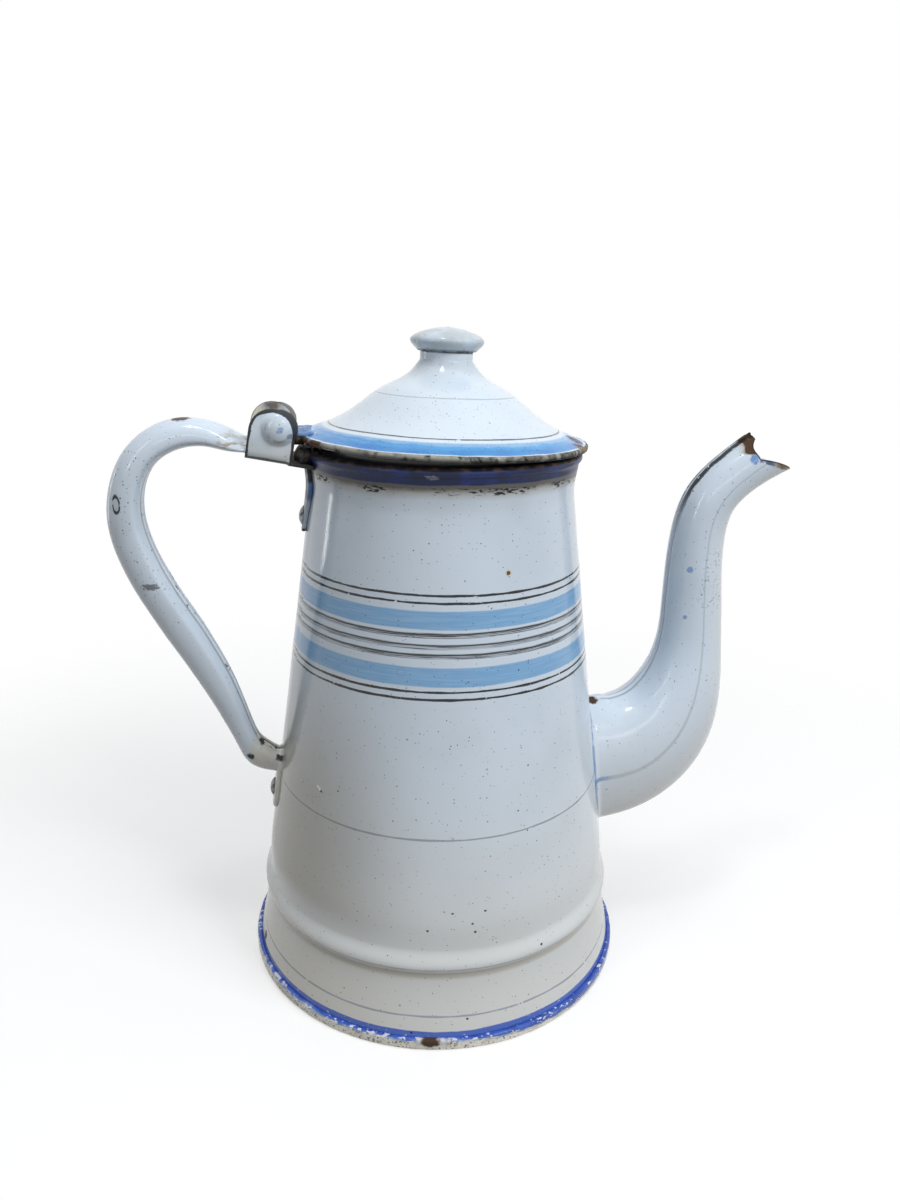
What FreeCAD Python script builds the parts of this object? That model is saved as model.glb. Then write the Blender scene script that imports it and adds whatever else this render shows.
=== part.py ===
import FreeCAD, Part
import math
import os

# Enamelled sheet-steel coffee pot: conical body, gooseneck spout, rolled handle, hinged lid.
# Millimetres. Origin at the centre of the standing ring, +Z up, spout towards +X, handle towards -X.

# Sheet thicknesses, enamel included
body_sheet = 1.4
pan_sheet = 1.2
spout_sheet = 1.4
handle_sheet = 1.3
bracket_sheet = 1.4
lid_sheet = 0.7
leaf_sheet = 1.1
knob_sheet = 1.2

# Body, stacked upwards: flared skirt, groove, pressed bead, cone, and a neck with a curled mouth
skirt_height = 4.4
skirt_length = 19.4
bead_rise = 4.6
bead_shoulder = 13.6
cone_height = 135.0
neck_height = 13.5

# Body, outwards: radii of the cone's ends, and how far the other rings stand from them
cone_radius = 64.0
neck_radius = 46.1
bead_swell = 2.3
groove_depth = 1.1
skirt_swell = 5.3
skirt_flare = 0.7
mouth_flare = 0.2
mouth_curl_radius = 1.7

# Bottom pan, whose rim is folded up over the skirt
pan_rim_wall = 1.0
pan_rim_height = 4.0
pan_rim_round = 0.8
pan_ring_width = 5.5
pan_floor_lift = 1.8
pan_floor_slope = 2.5

# Spout: stations along its middle line, each with its distance out from the wall and up from
# the root, its height across the bend and its width. The mouth's points are given the same way.
spout_root_height = 68.0
spout_stations = [
    (-3.5, 0.0, 52.0, 36.0),
    (14.5, 3.0, 50.0, 36.0),
    (28.5, 14.0, 43.5, 35.0),
    (35.8, 30.0, 33.0, 31.0),
    (38.1, 47.0, 25.5, 25.0),
    (37.5, 67.0, 22.2, 22.2),
    (37.1, 87.0, 20.2, 20.4),
    (40.5, 103.5, 19.0, 19.6),
    (50.1, 114.1, 18.3, 19.6),
    (67.9, 125.5, 20.8, 20.0),
]
spout_notch = (54.2, 120.9)
spout_upper_point = (53.7, 128.2)
spout_lower_point = (70.5, 115.4)
seam_height = 0.5
seam_width = 1.2
strainer_hole_radius = 2.5
strainer_hole_pitch = 9.0
strainer_ring_count = 6

# Lid: folded rim over the mouth, shoulder, concave dome and a drawn neck, tilted towards the spout.
# The dome's curve passes points given as shares of the way in and of the way up.
lid_tilt = 1.35
lid_gap = 1.6
lid_overhang = 1.7
lid_rim_round = 0.6
lid_fold_width = 3.2
shoulder_inset = 1.3
shoulder_width = 8.4
shoulder_rise = 3.3
dome_rise = 21.8
dome_curve = [(0.264, 0.220), (0.617, 0.587), (0.881, 0.798)]
lid_neck_radius = 8.9
lid_neck_height = 3.0
collar_clearance = 1.6
collar_depth = 7.8

# Knob cap on the lid's neck, with its widest ring and the round shoulder of its top
knob_radius = 12.5
knob_lip = 0.9
knob_height = 8.2
knob_belly_rise = 3.3
knob_shoulder_radius = 7.0
knob_crown = 1.3

# Hinge: pin across the pot, two cheeks on the bracket, and a rolled leaf on the lid
hinge_overhang = 6.0
pin_radius = 1.5
pin_clearance = 0.05
pin_seat = 3.0
cheek_gap = 25.0
cheek_radius = 7.5
cheek_offset = (-2.0, -1.6)
bracket_tilt = 10.0
bracket_drop = 11.3
bracket_bend = 3.0
dome_radius = 5.6
dome_height = 3.2
leaf_side_gap = 1.5
leaf_lap = 3.6

# Bracket tab that points down the neck to a rivet
tab_width = 17.0
tab_shoulder_rise = 3.0
tab_rivet_drop = 8.3
tab_end_drop = 2.0
tab_end_radius = 3.6

# Handle: stations along its middle line, each with x, z, depth across the bend and width.
# The grip is measured from the hinge pin and the foot from the lower rivet on the wall.
grip_stations = [
    (-1.9, -8.4, 2.6, 22.0),
    (-10.9, -6.6, 4.0, 25.5),
    (-15.9, -5.3, 6.8, 21.0),
    (-21.9, -3.4, 8.4, 16.0),
    (-30.9, -2.7, 9.8, 14.5),
    (-44.8, -10.2, 10.4, 14.5),
    (-51.3, -28.9, 12.0, 14.5),
    (-43.0, -56.4, 13.2, 14.5),
]
foot_stations = [
    (-21.2, 48.0, 12.0, 13.5),
    (-11.8, 25.0, 8.9, 12.5),
    (-9.2, 18.9, 9.0, 12.2),
    (-6.7, 14.6, 11.2, 11.6),
    (1.0, 11.4, 8.8, 11.4),
    (6.0, 10.2, 8.6, 11.4),
]
solid_stations = 3
handle_back_share = 0.7
handle_slot = 2.2
lower_rivet_height = 65.0
foot_tab_width = 12.0
foot_tab_rise = 14.0
foot_tab_drop = 2.0

# Rivets through the tabs
rivet_shank_radius = 1.8
rivet_head_radius = 3.6
rivet_head_height = 1.4
rivet_tail_radius = 3.2
rivet_tail_height = 1.2

# Longer than any piece, for cutting tools
reach = 300.0
across_pot = FreeCAD.Vector(0, 1, 0)

# Heights and radii that follow
skirt_foot_radius = cone_radius + skirt_swell + skirt_flare
skirt_radius = cone_radius + skirt_swell
groove_height = skirt_height + skirt_length
groove_radius = cone_radius + bead_swell - groove_depth
bead_height = groove_height + bead_rise
bead_radius = cone_radius + bead_swell
cone_foot_height = bead_height + bead_shoulder
neck_foot_height = cone_foot_height + cone_height
mouth_curl_height = neck_foot_height + neck_height
mouth_curl_centre_radius = neck_radius + mouth_flare
cone_taper = (cone_radius - neck_radius) / cone_height
skirt_slope = skirt_flare / (skirt_height - pan_sheet)
lid_rim_radius = mouth_curl_centre_radius + mouth_curl_radius + lid_overhang
lid_rim_bottom = mouth_curl_height + mouth_curl_radius + lid_gap
lid_rim_top = lid_rim_bottom + 3 * lid_sheet
shoulder_foot_radius = lid_rim_radius - shoulder_inset
shoulder_top_radius = shoulder_foot_radius - shoulder_width
shoulder_top = (shoulder_top_radius, lid_rim_top + shoulder_rise)
lid_neck_foot = shoulder_top[1] + dome_rise
lid_neck_top = lid_neck_foot + lid_neck_height
dome_slope = math.atan2(dome_rise, shoulder_top_radius - lid_neck_radius)
collar_radius = mouth_curl_centre_radius - mouth_curl_radius - collar_clearance
upper_rivet_height = neck_foot_height - tab_rivet_drop
knuckle_radius = pin_radius + pin_clearance + leaf_sheet
leaf_width = cheek_gap - 2 * leaf_side_gap
cheek_outside = cheek_gap / 2 + bracket_sheet


def at(x, z):
    """Point in the plane of the spout and handle."""
    return FreeCAD.Vector(x, 0, z)


def line(start, end):
    return Part.LineSegment(at(*start), at(*end)).toShape()


def arc(start, middle, end):
    return Part.Arc(at(*start), at(*middle), at(*end)).toShape()


def curve(points, start_way, end_way):
    """Smooth curve through the points, leaving and arriving in the given directions."""
    spline = Part.BSplineCurve()
    spline.interpolate(
        Points=[at(*point) for point in points],
        InitialTangent=at(*start_way),
        FinalTangent=at(*end_way),
    )
    return spline.toShape()


def corner_arc(corner, round_radius, start_way, end_way):
    """Quarter round at a square corner, from the side start_way to the side end_way."""
    diagonal = round_radius * (1 - math.sqrt(0.5))
    start = (corner[0] + start_way[0] * round_radius, corner[1] + start_way[1] * round_radius)
    end = (corner[0] + end_way[0] * round_radius, corner[1] + end_way[1] * round_radius)
    middle = (
        corner[0] + (start_way[0] + end_way[0]) * diagonal,
        corner[1] + (start_way[1] + end_way[1]) * diagonal,
    )
    return start, end, arc(start, middle, end)


def revolve(edges):
    """Solid turned round Z from a closed outline of edges."""
    face = Part.Face(Part.Wire(Part.__sortEdges__(edges)))
    return face.revolve(FreeCAD.Vector(0, 0, 0), FreeCAD.Vector(0, 0, 1), 360)


def slab(x_range, y_range, z_range):
    corner = FreeCAD.Vector(x_range[0], y_range[0], z_range[0])
    return Part.makeBox(
        x_range[1] - x_range[0], y_range[1] - y_range[0], z_range[1] - z_range[0], corner
    )


def cap_ball_radius(radius, height):
    """Radius of the ball whose cap has the given radius and height."""
    return (radius ** 2 + height ** 2) / (2 * height)


def one_solid(shape):
    """The single solid of a boolean result."""
    solids = shape.Solids
    if len(solids) != 1:
        raise ValueError("expected one solid, got %d" % len(solids))
    return solids[0]


# Body and bottom

def cone_at(height):
    """Outer radius of the cone at a height."""
    return cone_radius - cone_taper * (height - cone_foot_height)


def body_skin(inset):
    """Solid inside the body's skin, drawn in by inset."""
    foot = (skirt_foot_radius - inset, pan_sheet)
    skirt = (skirt_radius - inset, skirt_height)
    groove = (groove_radius - inset, groove_height)
    bead = (bead_radius - inset, bead_height)
    cone_foot = (cone_radius - inset, cone_foot_height)
    neck_foot = (neck_radius - inset, neck_foot_height)
    mouth = (mouth_curl_centre_radius + body_sheet / 2 - inset, mouth_curl_height)
    edges = [
        line(foot, skirt),
        curve([skirt, groove], (-skirt_slope, 1), (0, 1)),
        curve([groove, bead], (0, 1), (0, 1)),
        curve([bead, cone_foot], (0, 1), (-cone_taper, 1)),
        line(cone_foot, neck_foot),
        curve([neck_foot, mouth], (-cone_taper, 1), (cone_taper, 1)),
        line(mouth, (0, mouth_curl_height)),
        line((0, mouth_curl_height), (0, pan_sheet)),
        line((0, pan_sheet), foot),
    ]
    return revolve(edges)


def mouth_curl():
    return Part.makeTorus(
        mouth_curl_centre_radius, mouth_curl_radius, FreeCAD.Vector(0, 0, mouth_curl_height)
    )


def strainer_hole(offset, turn):
    """Hole through the wall behind the spout, set off from the root's middle."""
    start = FreeCAD.Vector(
        neck_radius / 2, offset * math.sin(turn), spout_root_height + offset * math.cos(turn)
    )
    return Part.makeCylinder(strainer_hole_radius, neck_radius, start, FreeCAD.Vector(1, 0, 0))


def make_body(skin, rivet_holes):
    holes = [strainer_hole(0, 0)]
    for number in range(strainer_ring_count):
        holes.append(strainer_hole(strainer_hole_pitch, 2 * math.pi * number / strainer_ring_count))
    shell = skin.cut(body_skin(body_sheet)).fuse(mouth_curl())
    return one_solid(shell.cut(holes + rivet_holes))


def make_pan():
    rim_radius = skirt_foot_radius + pan_rim_wall
    ring_inner = rim_radius - pan_ring_width
    slope_foot = ring_inner - pan_floor_slope
    rim_inner = skirt_foot_radius - skirt_slope * (pan_rim_height - pan_sheet)
    low_start, low_end, low_round = corner_arc((rim_radius, 0), pan_rim_round, (-1, 0), (0, 1))
    top_start, top_end, top_round = corner_arc(
        (rim_radius, pan_rim_height), pan_rim_round, (0, -1), (-1, 0)
    )
    under = [(0, pan_floor_lift), (slope_foot, pan_floor_lift), (ring_inner, 0), low_start]
    inside = [
        top_end,
        (rim_inner, pan_rim_height),
        (skirt_foot_radius, pan_sheet),
        (ring_inner + pan_sheet / 2, pan_sheet),
        (slope_foot + pan_sheet / 2, pan_floor_lift + pan_sheet),
        (0, pan_floor_lift + pan_sheet),
        (0, pan_floor_lift),
    ]
    edges = [line(*pair) for pair in zip(under, under[1:])]
    edges += [low_round, line(low_end, top_start), top_round]
    edges += [line(*pair) for pair in zip(inside, inside[1:])]
    return revolve(edges)


# Tubes that follow a line of stations

def station_frames(stations):
    """Centre and outward direction at each station of a path in the XZ plane."""
    centres = [at(station[0], station[1]) for station in stations]
    path = Part.BSplineCurve()
    path.interpolate(Points=centres)
    frames = []
    for centre in centres:
        way = path.tangent(path.parameter(centre))[0]
        frames.append((centre, FreeCAD.Vector(way.z, 0, -way.x)))
    return frames


def measured_from(base, stations):
    """Stations or points moved to a base point, their other sizes kept."""
    return [(base.x + item[0], base.z + item[1]) + tuple(item[2:]) for item in stations]


def oval_arc(centre, across, width, start_turn, end_turn):
    """Part of an ellipse, turned from the vector across towards +Y, as one edge."""
    turns = (start_turn, (start_turn + end_turn) / 2, end_turn)
    points = [FreeCAD.Vector(math.cos(turn), math.sin(turn), 0) for turn in turns]
    square = across_pot.cross(across)
    square.normalize()
    place = FreeCAD.Matrix(
        across.x, 0, square.x, centre.x,
        across.y, width / 2, square.y, centre.y,
        across.z, 0, square.z, centre.z,
        0, 0, 0, 1,
    )
    return Part.Arc(*points).toShape().transformGeometry(place).Edges[0]


def oval(centre, outward, back, front, width):
    """Closed section of two half ellipses, back along outward and front against it."""
    quarter = math.pi / 2
    edges = [
        oval_arc(centre, outward * back, width, -quarter, quarter),
        oval_arc(centre, outward * -front, width, -quarter, quarter),
    ]
    return Part.Wire(Part.__sortEdges__(edges))


def rolled_section(centre, outward, back, front, width):
    """Section of a strip rolled to a tube, with an open seam on its front."""
    quarter = math.pi / 2
    bore = width - 2 * handle_sheet
    bore_back = outward * (back - handle_sheet)
    bore_front = outward * (handle_sheet - front)
    outer_edge = math.asin(handle_slot / width)
    inner_edge = math.asin(handle_slot / bore)
    outer = [
        oval_arc(centre, outward * -front, width, -outer_edge, -quarter),
        oval_arc(centre, outward * back, width, -quarter, quarter),
        oval_arc(centre, outward * -front, width, quarter, outer_edge),
    ]
    inner = [
        oval_arc(centre, bore_front, bore, inner_edge, quarter),
        oval_arc(centre, bore_back, bore, quarter, -quarter),
        oval_arc(centre, bore_front, bore, -quarter, -inner_edge),
    ]
    ends = [
        Part.LineSegment(outer[-1].Vertexes[-1].Point, inner[0].Vertexes[0].Point).toShape(),
        Part.LineSegment(inner[-1].Vertexes[-1].Point, outer[0].Vertexes[0].Point).toShape(),
    ]
    return Part.Wire(outer + ends[:1] + inner + ends[1:])


def spout_loft(stations, grow):
    """Solid through the spout's stations, each grown by the given wall."""
    wires = []
    for station, frame in zip(stations, station_frames(stations)):
        half_height = station[2] / 2 + grow
        wires.append(oval(frame[0], frame[1], half_height, half_height, station[3] + 2 * grow))
    return Part.makeLoft(wires, True, False)


def spout_mouth_cut(root):
    """Wedge that opens the fish mouth, seen from the side."""
    notch, upper, lower = [
        at(*point) for point in measured_from(root, [spout_notch, spout_upper_point, spout_lower_point])
    ]
    up = (upper - notch).normalize() * reach
    down = (lower - notch).normalize() * reach
    face = Part.Face(Part.makePolygon([notch, notch + up, notch + up + down, notch + down, notch]))
    face.translate(across_pot * (-reach / 2))
    return face.extrude(across_pot * reach)


def make_spout(skin):
    """The two pressed halves, left (+Y) and right (-Y), met along a raised seam."""
    root = at(cone_at(spout_root_height), spout_root_height)
    stations = measured_from(root, spout_stations)
    bore = spout_loft(stations, -spout_sheet)
    tube = spout_loft(stations, 0).cut(bore)
    seam_slab = slab((0, reach), (-seam_width / 2, seam_width / 2), (0, reach))
    seam = spout_loft(stations, seam_height).cut(bore).common(seam_slab)
    whole = tube.fuse(seam).cut([skin, spout_mouth_cut(root)])
    halves = []
    for y_range in ((0, reach), (-reach, 0)):
        halves.append(one_solid(whole.common(slab((0, reach), y_range, (0, reach)))))
    return halves


# Lid, collar and knob, drawn upright about Z and then tilted

tilt_centre = at(0, lid_rim_bottom)


def tilted(shape):
    """A piece of the lid, turned with the hinge side up."""
    turned = shape.copy()
    turned.rotate(tilt_centre, across_pot, lid_tilt)
    return turned


def dome_edges(inset):
    """Shoulder, dome and neck of the lid's skin, drawn in by inset, from the rim upwards."""
    inward = inset * math.sin(dome_slope)
    downward = inset * math.cos(dome_slope)
    way_in = lid_neck_radius - shoulder_top_radius
    foot = (shoulder_foot_radius, lid_rim_top - inset)
    crest = [(shoulder_top[0] - inward, shoulder_top[1] - downward)]
    for share_in, share_up in dome_curve:
        crest.append((crest[0][0] + share_in * way_in, crest[0][1] + share_up * dome_rise))
    neck_foot = (lid_neck_radius - inset, lid_neck_foot)
    neck_top = (lid_neck_radius - inset, lid_neck_top)
    return [
        line(foot, crest[0]),
        curve(crest + [neck_foot], (-math.cos(dome_slope), math.sin(dome_slope)), (0, 1)),
        line(neck_foot, neck_top),
    ]


def make_lid():
    """Drawn dome with its rim folded under, leaving a slot that holds the collar's flange."""
    fold_end = lid_rim_radius - lid_fold_width
    slot_end = lid_rim_radius - lid_sheet
    slot_bottom = lid_rim_bottom + lid_sheet
    slot_top = lid_rim_top - lid_sheet
    low_start, low_end, low_round = corner_arc(
        (lid_rim_radius, lid_rim_bottom), lid_rim_round, (-1, 0), (0, 1)
    )
    top_start, top_end, top_round = corner_arc(
        (lid_rim_radius, lid_rim_top), lid_rim_round, (0, -1), (-1, 0)
    )
    slot = [
        (shoulder_foot_radius, slot_top),
        (slot_end, slot_top),
        (slot_end, slot_bottom),
        (fold_end, slot_bottom),
        (fold_end, lid_rim_bottom),
        low_start,
    ]
    edges = dome_edges(0) + dome_edges(lid_sheet)
    edges += [line(*pair) for pair in zip(slot, slot[1:])]
    edges += [low_round, line(low_end, top_start), top_round]
    edges += [
        line(top_end, (shoulder_foot_radius, lid_rim_top)),
        line((lid_neck_radius, lid_neck_top), (lid_neck_radius - lid_sheet, lid_neck_top)),
    ]
    return revolve(edges)


def lid_outside():
    """Solid filling the lid up to its outer skin."""
    edges = dome_edges(0) + [
        line((lid_neck_radius, lid_neck_top), (0, lid_neck_top)),
        line((0, lid_neck_top), (0, lid_rim_top)),
        line((0, lid_rim_top), (shoulder_foot_radius, lid_rim_top)),
    ]
    return revolve(edges)


def ring(inner, outer, bottom, top):
    base = FreeCAD.Vector(0, 0, bottom)
    tube = Part.makeCylinder(outer, top - bottom, base)
    return tube.cut(Part.makeCylinder(inner, top - bottom, base))


def make_collar():
    """Skirt that drops into the mouth, with a flange caught in the folded rim."""
    inner = collar_radius - lid_sheet
    flange_bottom = lid_rim_bottom + lid_sheet
    flange_top = lid_rim_top - lid_sheet
    skirt = ring(inner, collar_radius, lid_rim_bottom - collar_depth, flange_top)
    flange = ring(inner, lid_rim_radius - lid_sheet, flange_bottom, flange_top)
    return one_solid(skirt.fuse(flange).removeSplitter())


def make_knob():
    """Hollow button seated on the rim of the neck."""
    inner_foot = lid_neck_radius - lid_sheet
    belly = lid_neck_top + knob_belly_rise
    top = lid_neck_top + knob_height
    outer = [
        (lid_neck_radius + knob_lip, lid_neck_top),
        (knob_radius, belly),
        (knob_shoulder_radius, top - knob_crown),
        (0, top),
    ]
    inner = [
        (inner_foot, lid_neck_top + knob_sheet),
        (knob_radius - knob_sheet, belly),
        (knob_shoulder_radius, top - knob_crown - knob_sheet),
        (0, top - knob_sheet),
    ]
    edges = [
        curve(outer, (1, 0), (-1, 0)),
        line(outer[-1], inner[-1]),
        curve(inner, (1, 0), (-1, 0)),
        line(inner[0], (inner_foot, lid_neck_top)),
        line((inner_foot, lid_neck_top), outer[0]),
    ]
    return revolve(edges)


# Hinge

pin_upright = at(-lid_rim_radius - hinge_overhang, lid_rim_top + knuckle_radius)
pin_centre = tilt_centre + FreeCAD.Rotation(across_pot, lid_tilt).multVec(pin_upright - tilt_centre)


def rod(centre, radius, length):
    """Cylinder across the pot, halved by the plane of the spout."""
    return Part.makeCylinder(radius, length, centre - across_pot * (length / 2), across_pot)


def make_pin():
    return rod(pin_centre, pin_radius, cheek_gap + 2 * pin_seat)


def make_leaf():
    """Strap lapped on the lid's shoulder, rolled round the pin at its end."""
    half = leaf_width / 2
    plate = slab(
        (pin_upright.x, -shoulder_top_radius), (-half, half), (lid_rim_top, lid_rim_top + leaf_sheet)
    )
    slope = math.atan2(shoulder_rise, shoulder_width)
    lift = (leaf_sheet * math.sin(slope), leaf_sheet * math.cos(slope))
    foot = (shoulder_foot_radius, lid_rim_top)
    lap_end = (foot[0] - leaf_lap * math.cos(slope), foot[1] + leaf_lap * math.sin(slope))
    raised_foot = (foot[0] + lift[0], foot[1] + lift[1])
    raised_end = (lap_end[0] + lift[0], lap_end[1] + lift[1])
    corners = [foot, lap_end, raised_end, raised_foot, foot]
    band = revolve([line(*pair) for pair in zip(corners, corners[1:])])
    band = band.common(slab((-reach, 0), (-half, half), (0, reach)))
    knuckle = rod(pin_upright, knuckle_radius, leaf_width)
    bore = rod(pin_upright, pin_radius + pin_clearance, leaf_width)
    return one_solid(plate.cut(lid_outside()).fuse([band, knuckle]).cut(bore).removeSplitter())


def on_bracket(shape):
    """A shape drawn about the pin, tilted with the bracket and set at the pin."""
    placed = shape.copy()
    placed.rotate(FreeCAD.Vector(0, 0, 0), across_pot, bracket_tilt)
    placed.translate(pin_centre)
    return placed


def trough(half_width, bottom, bend):
    """Long block with its two bottom edges rounded."""
    block = slab((-reach, reach), (-half_width, half_width), (bottom, reach))
    edges = [edge for edge in block.Edges if edge.Length > reach and edge.CenterOfMass.z < 0]
    return block.makeFillet(bend, edges)


def make_cheeks():
    """Bent plate with two round-topped cheeks, each with a pressed dome over the pin's end."""
    left = cheek_offset[0] - cheek_radius
    right = cheek_offset[0] + cheek_radius
    spring = cheek_offset[1]
    outline = [
        line((left, -bracket_drop), (left, spring)),
        arc((left, spring), (cheek_offset[0], spring + cheek_radius), (right, spring)),
        line((right, spring), (right, -bracket_drop)),
        line((right, -bracket_drop), (left, -bracket_drop)),
    ]
    face = Part.Face(Part.Wire(outline))
    face.translate(across_pot * (-reach / 2))
    profile = face.extrude(across_pot * reach)
    plate = trough(cheek_outside, -bracket_drop, bracket_bend).cut(
        trough(cheek_gap / 2, bracket_sheet - bracket_drop, bracket_bend - bracket_sheet)
    )
    pieces = []
    ball_radius = cap_ball_radius(dome_radius, dome_height)
    for side in (-1, 1):
        centre = across_pot * (side * (cheek_outside + dome_height - ball_radius))
        y_range = sorted((side * cheek_gap / 2, side * reach))
        pieces.append(
            Part.makeSphere(ball_radius, centre).common(slab((-reach, reach), y_range, (-reach, reach)))
        )
    pieces.append(
        slab(
            (right - bracket_sheet, right + bracket_drop),
            (-cheek_outside, cheek_outside),
            (-bracket_drop, bracket_sheet - bracket_drop),
        )
    )
    return on_bracket(plate.common(profile).fuse(pieces))


def wall_patch(points, end_radius, end_height, thickness, skin):
    """Sheet lying on the body's skin on the handle side: a YZ outline with a round end."""
    corners = [FreeCAD.Vector(0, y, z) for y, z in points]
    prism = Part.Face(Part.makePolygon(corners + corners[:1])).extrude(FreeCAD.Vector(-reach, 0, 0))
    end = Part.makeCylinder(end_radius, reach, at(0, end_height), FreeCAD.Vector(-1, 0, 0))
    return body_skin(-thickness).cut(skin).common(prism.fuse(end))


def make_bracket(skin, hole):
    half = tab_width / 2
    tilt = math.radians(bracket_tilt)
    strap_top = bracket_sheet - bracket_drop
    along = (-neck_radius - pin_centre.x - strap_top * math.sin(tilt)) / math.cos(tilt)
    tab_top = pin_centre.z - along * math.sin(tilt) + strap_top * math.cos(tilt)
    shoulder = neck_foot_height + tab_shoulder_rise
    end = upper_rivet_height - tab_end_drop
    points = [
        (-half, tab_top), (half, tab_top), (half, shoulder),
        (tab_end_radius, end), (-tab_end_radius, end), (-half, shoulder),
    ]
    patch = wall_patch(points, tab_end_radius, end, bracket_sheet, skin)
    bracket = make_cheeks().fuse(patch).cut([skin, mouth_curl(), hole, make_pin()])
    return one_solid(bracket.removeSplitter())


# Handle and rivets

def handle_loft(stations, section, start_at, end_at):
    """Solid through a run of the handle's stations, with the given kind of section."""
    wires = []
    for station, frame in list(zip(stations, station_frames(stations)))[start_at:end_at]:
        back = station[2] * handle_back_share
        front = station[2] - back
        middle = frame[0] - frame[1] * ((back - front) / 2)
        wires.append(section(middle, frame[1], back, front, station[3]))
    return Part.makeLoft(wires, True, False)


def make_handle(skin, bracket, hole):
    """Strip rolled to a tube with its seam towards the pot, solid where flattened, and a foot tab."""
    rivet = at(-cone_at(lower_rivet_height), lower_rivet_height)
    stations = measured_from(pin_centre, grip_stations) + measured_from(rivet, foot_stations)
    flat_end = handle_loft(stations, oval, 0, solid_stations)
    tube = handle_loft(stations, rolled_section, solid_stations - 1, len(stations))
    half = foot_tab_width / 2
    end = lower_rivet_height - foot_tab_drop
    top = lower_rivet_height + foot_tab_rise
    points = [(-half, end), (half, end), (half, top), (-half, top)]
    patch = wall_patch(points, half, end, handle_sheet, skin)
    handle = tube.fuse([flat_end, patch]).cut([skin, bracket, hole])
    return one_solid(handle)


def set_on_wall(shape, height):
    """A shape drawn along +Z from the skin, set square to the cone on the handle side."""
    outward = FreeCAD.Vector(-1, 0, cone_taper)
    outward.normalize()
    placed = shape.copy()
    turn = FreeCAD.Rotation(FreeCAD.Vector(0, 0, 1), outward)
    placed.Placement = FreeCAD.Placement(at(-cone_at(height), height), turn)
    return placed


def rivet_hole(height):
    """Hole through the wall and what lies on it, too short to reach the far side."""
    return set_on_wall(
        Part.makeCylinder(rivet_shank_radius, neck_radius, at(0, -neck_radius / 2)), height
    )


def make_rivet(height, tab_sheet, neighbours):
    """Round-headed rivet through a tab and the body wall, closed over inside."""
    head_top = tab_sheet + rivet_head_height
    tail_foot = -body_sheet - rivet_tail_height
    ball_radius = cap_ball_radius(rivet_head_radius, rivet_head_height)
    ball = Part.makeSphere(ball_radius, at(0, head_top - ball_radius))
    head = ball.common(slab((-reach, reach), (-reach, reach), (0, reach)))
    shank = Part.makeCylinder(rivet_shank_radius, tab_sheet - tail_foot, at(0, tail_foot))
    tail = Part.makeCylinder(rivet_tail_radius, -tail_foot, at(0, tail_foot))
    rivet = set_on_wall(shank.fuse([head, tail]), height).cut(neighbours)
    return max(rivet.Solids, key=lambda solid: solid.Volume)


# Assembly

skin = body_skin(0)
upper_hole = rivet_hole(upper_rivet_height)
lower_hole = rivet_hole(lower_rivet_height)
body = make_body(skin, [upper_hole, lower_hole])
spout_left, spout_right = make_spout(skin)
bracket = make_bracket(skin, upper_hole)
handle = make_handle(skin, bracket, lower_hole)
nodes = {
    "body_shell": body,
    "bottom_pan": make_pan(),
    "spout_left": spout_left,
    "spout_right": spout_right,
    "handle": handle,
    "handle_rivet": make_rivet(lower_rivet_height, handle_sheet, [body, handle]),
    "hinge_bracket": bracket,
    "bracket_rivet": make_rivet(upper_rivet_height, bracket_sheet, [body, bracket]),
    "hinge_pin": make_pin(),
    "lid_shell": tilted(make_lid()),
    "lid_collar": tilted(make_collar()),
    "lid_hinge_leaf": tilted(make_leaf()),
    "lid_knob": tilted(make_knob()),
}
os.makedirs("parts", exist_ok=True)
for name, shape in nodes.items():
    shape.exportStep("parts/%s.step" % name)
    print(name, shape.isValid(), len(shape.Solids), round(shape.Volume, 1))
print("hinge pin at", round(pin_centre.x, 3), round(pin_centre.z, 3))
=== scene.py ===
import math

import bmesh
import bpy
import numpy
from mathutils import Matrix, Vector, noise


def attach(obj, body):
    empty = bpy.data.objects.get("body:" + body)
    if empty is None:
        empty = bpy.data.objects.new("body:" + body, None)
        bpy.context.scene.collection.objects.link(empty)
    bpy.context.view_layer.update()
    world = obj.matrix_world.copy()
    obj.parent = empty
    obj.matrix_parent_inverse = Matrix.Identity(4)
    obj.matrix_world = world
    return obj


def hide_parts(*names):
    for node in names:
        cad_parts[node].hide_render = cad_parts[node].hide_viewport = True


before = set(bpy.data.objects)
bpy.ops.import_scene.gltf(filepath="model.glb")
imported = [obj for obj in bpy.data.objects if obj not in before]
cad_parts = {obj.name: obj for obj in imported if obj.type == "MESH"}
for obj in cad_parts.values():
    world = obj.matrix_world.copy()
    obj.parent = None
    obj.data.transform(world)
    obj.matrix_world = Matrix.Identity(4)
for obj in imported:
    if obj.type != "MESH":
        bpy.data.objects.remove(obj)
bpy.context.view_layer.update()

# An old enamelled coffee pot: own meshes with soft enamel edges on the CAD frame, painted and chipped.
# Sizes are millimetres in the pot's own frame, and turn to metres where a mesh is made.
MM = 0.001

# Body, points of its outside as radius and height, and ways along it
body_sheet = 1.4
skirt_foot = (70.0, 1.2)
skirt = (69.3, 4.4)
groove = (65.2, 25.8)
groove_way_in = (-0.1, 1)
groove_way_out = (0.35, 1)
bead = (66.6, 29.1)
bead_crease = (64.5, 35.2)
crease_way = (-0.06, 1)
body_swelling = (63.85, 45.5)
swelling_end = 62.0
cone_foot = (64.0, 42.0)
neck_foot = (46.1, 177.0)
neck_join_share = 0.92
curl_centre = (46.3, 190.5)
curl_radius = 1.7
curl_turns = (-60, 240)
cone_taper = (cone_foot[0] - neck_foot[0]) / (neck_foot[1] - cone_foot[1])
skirt_slope = (skirt_foot[0] - skirt[0]) / (skirt[1] - skirt_foot[1])

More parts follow.
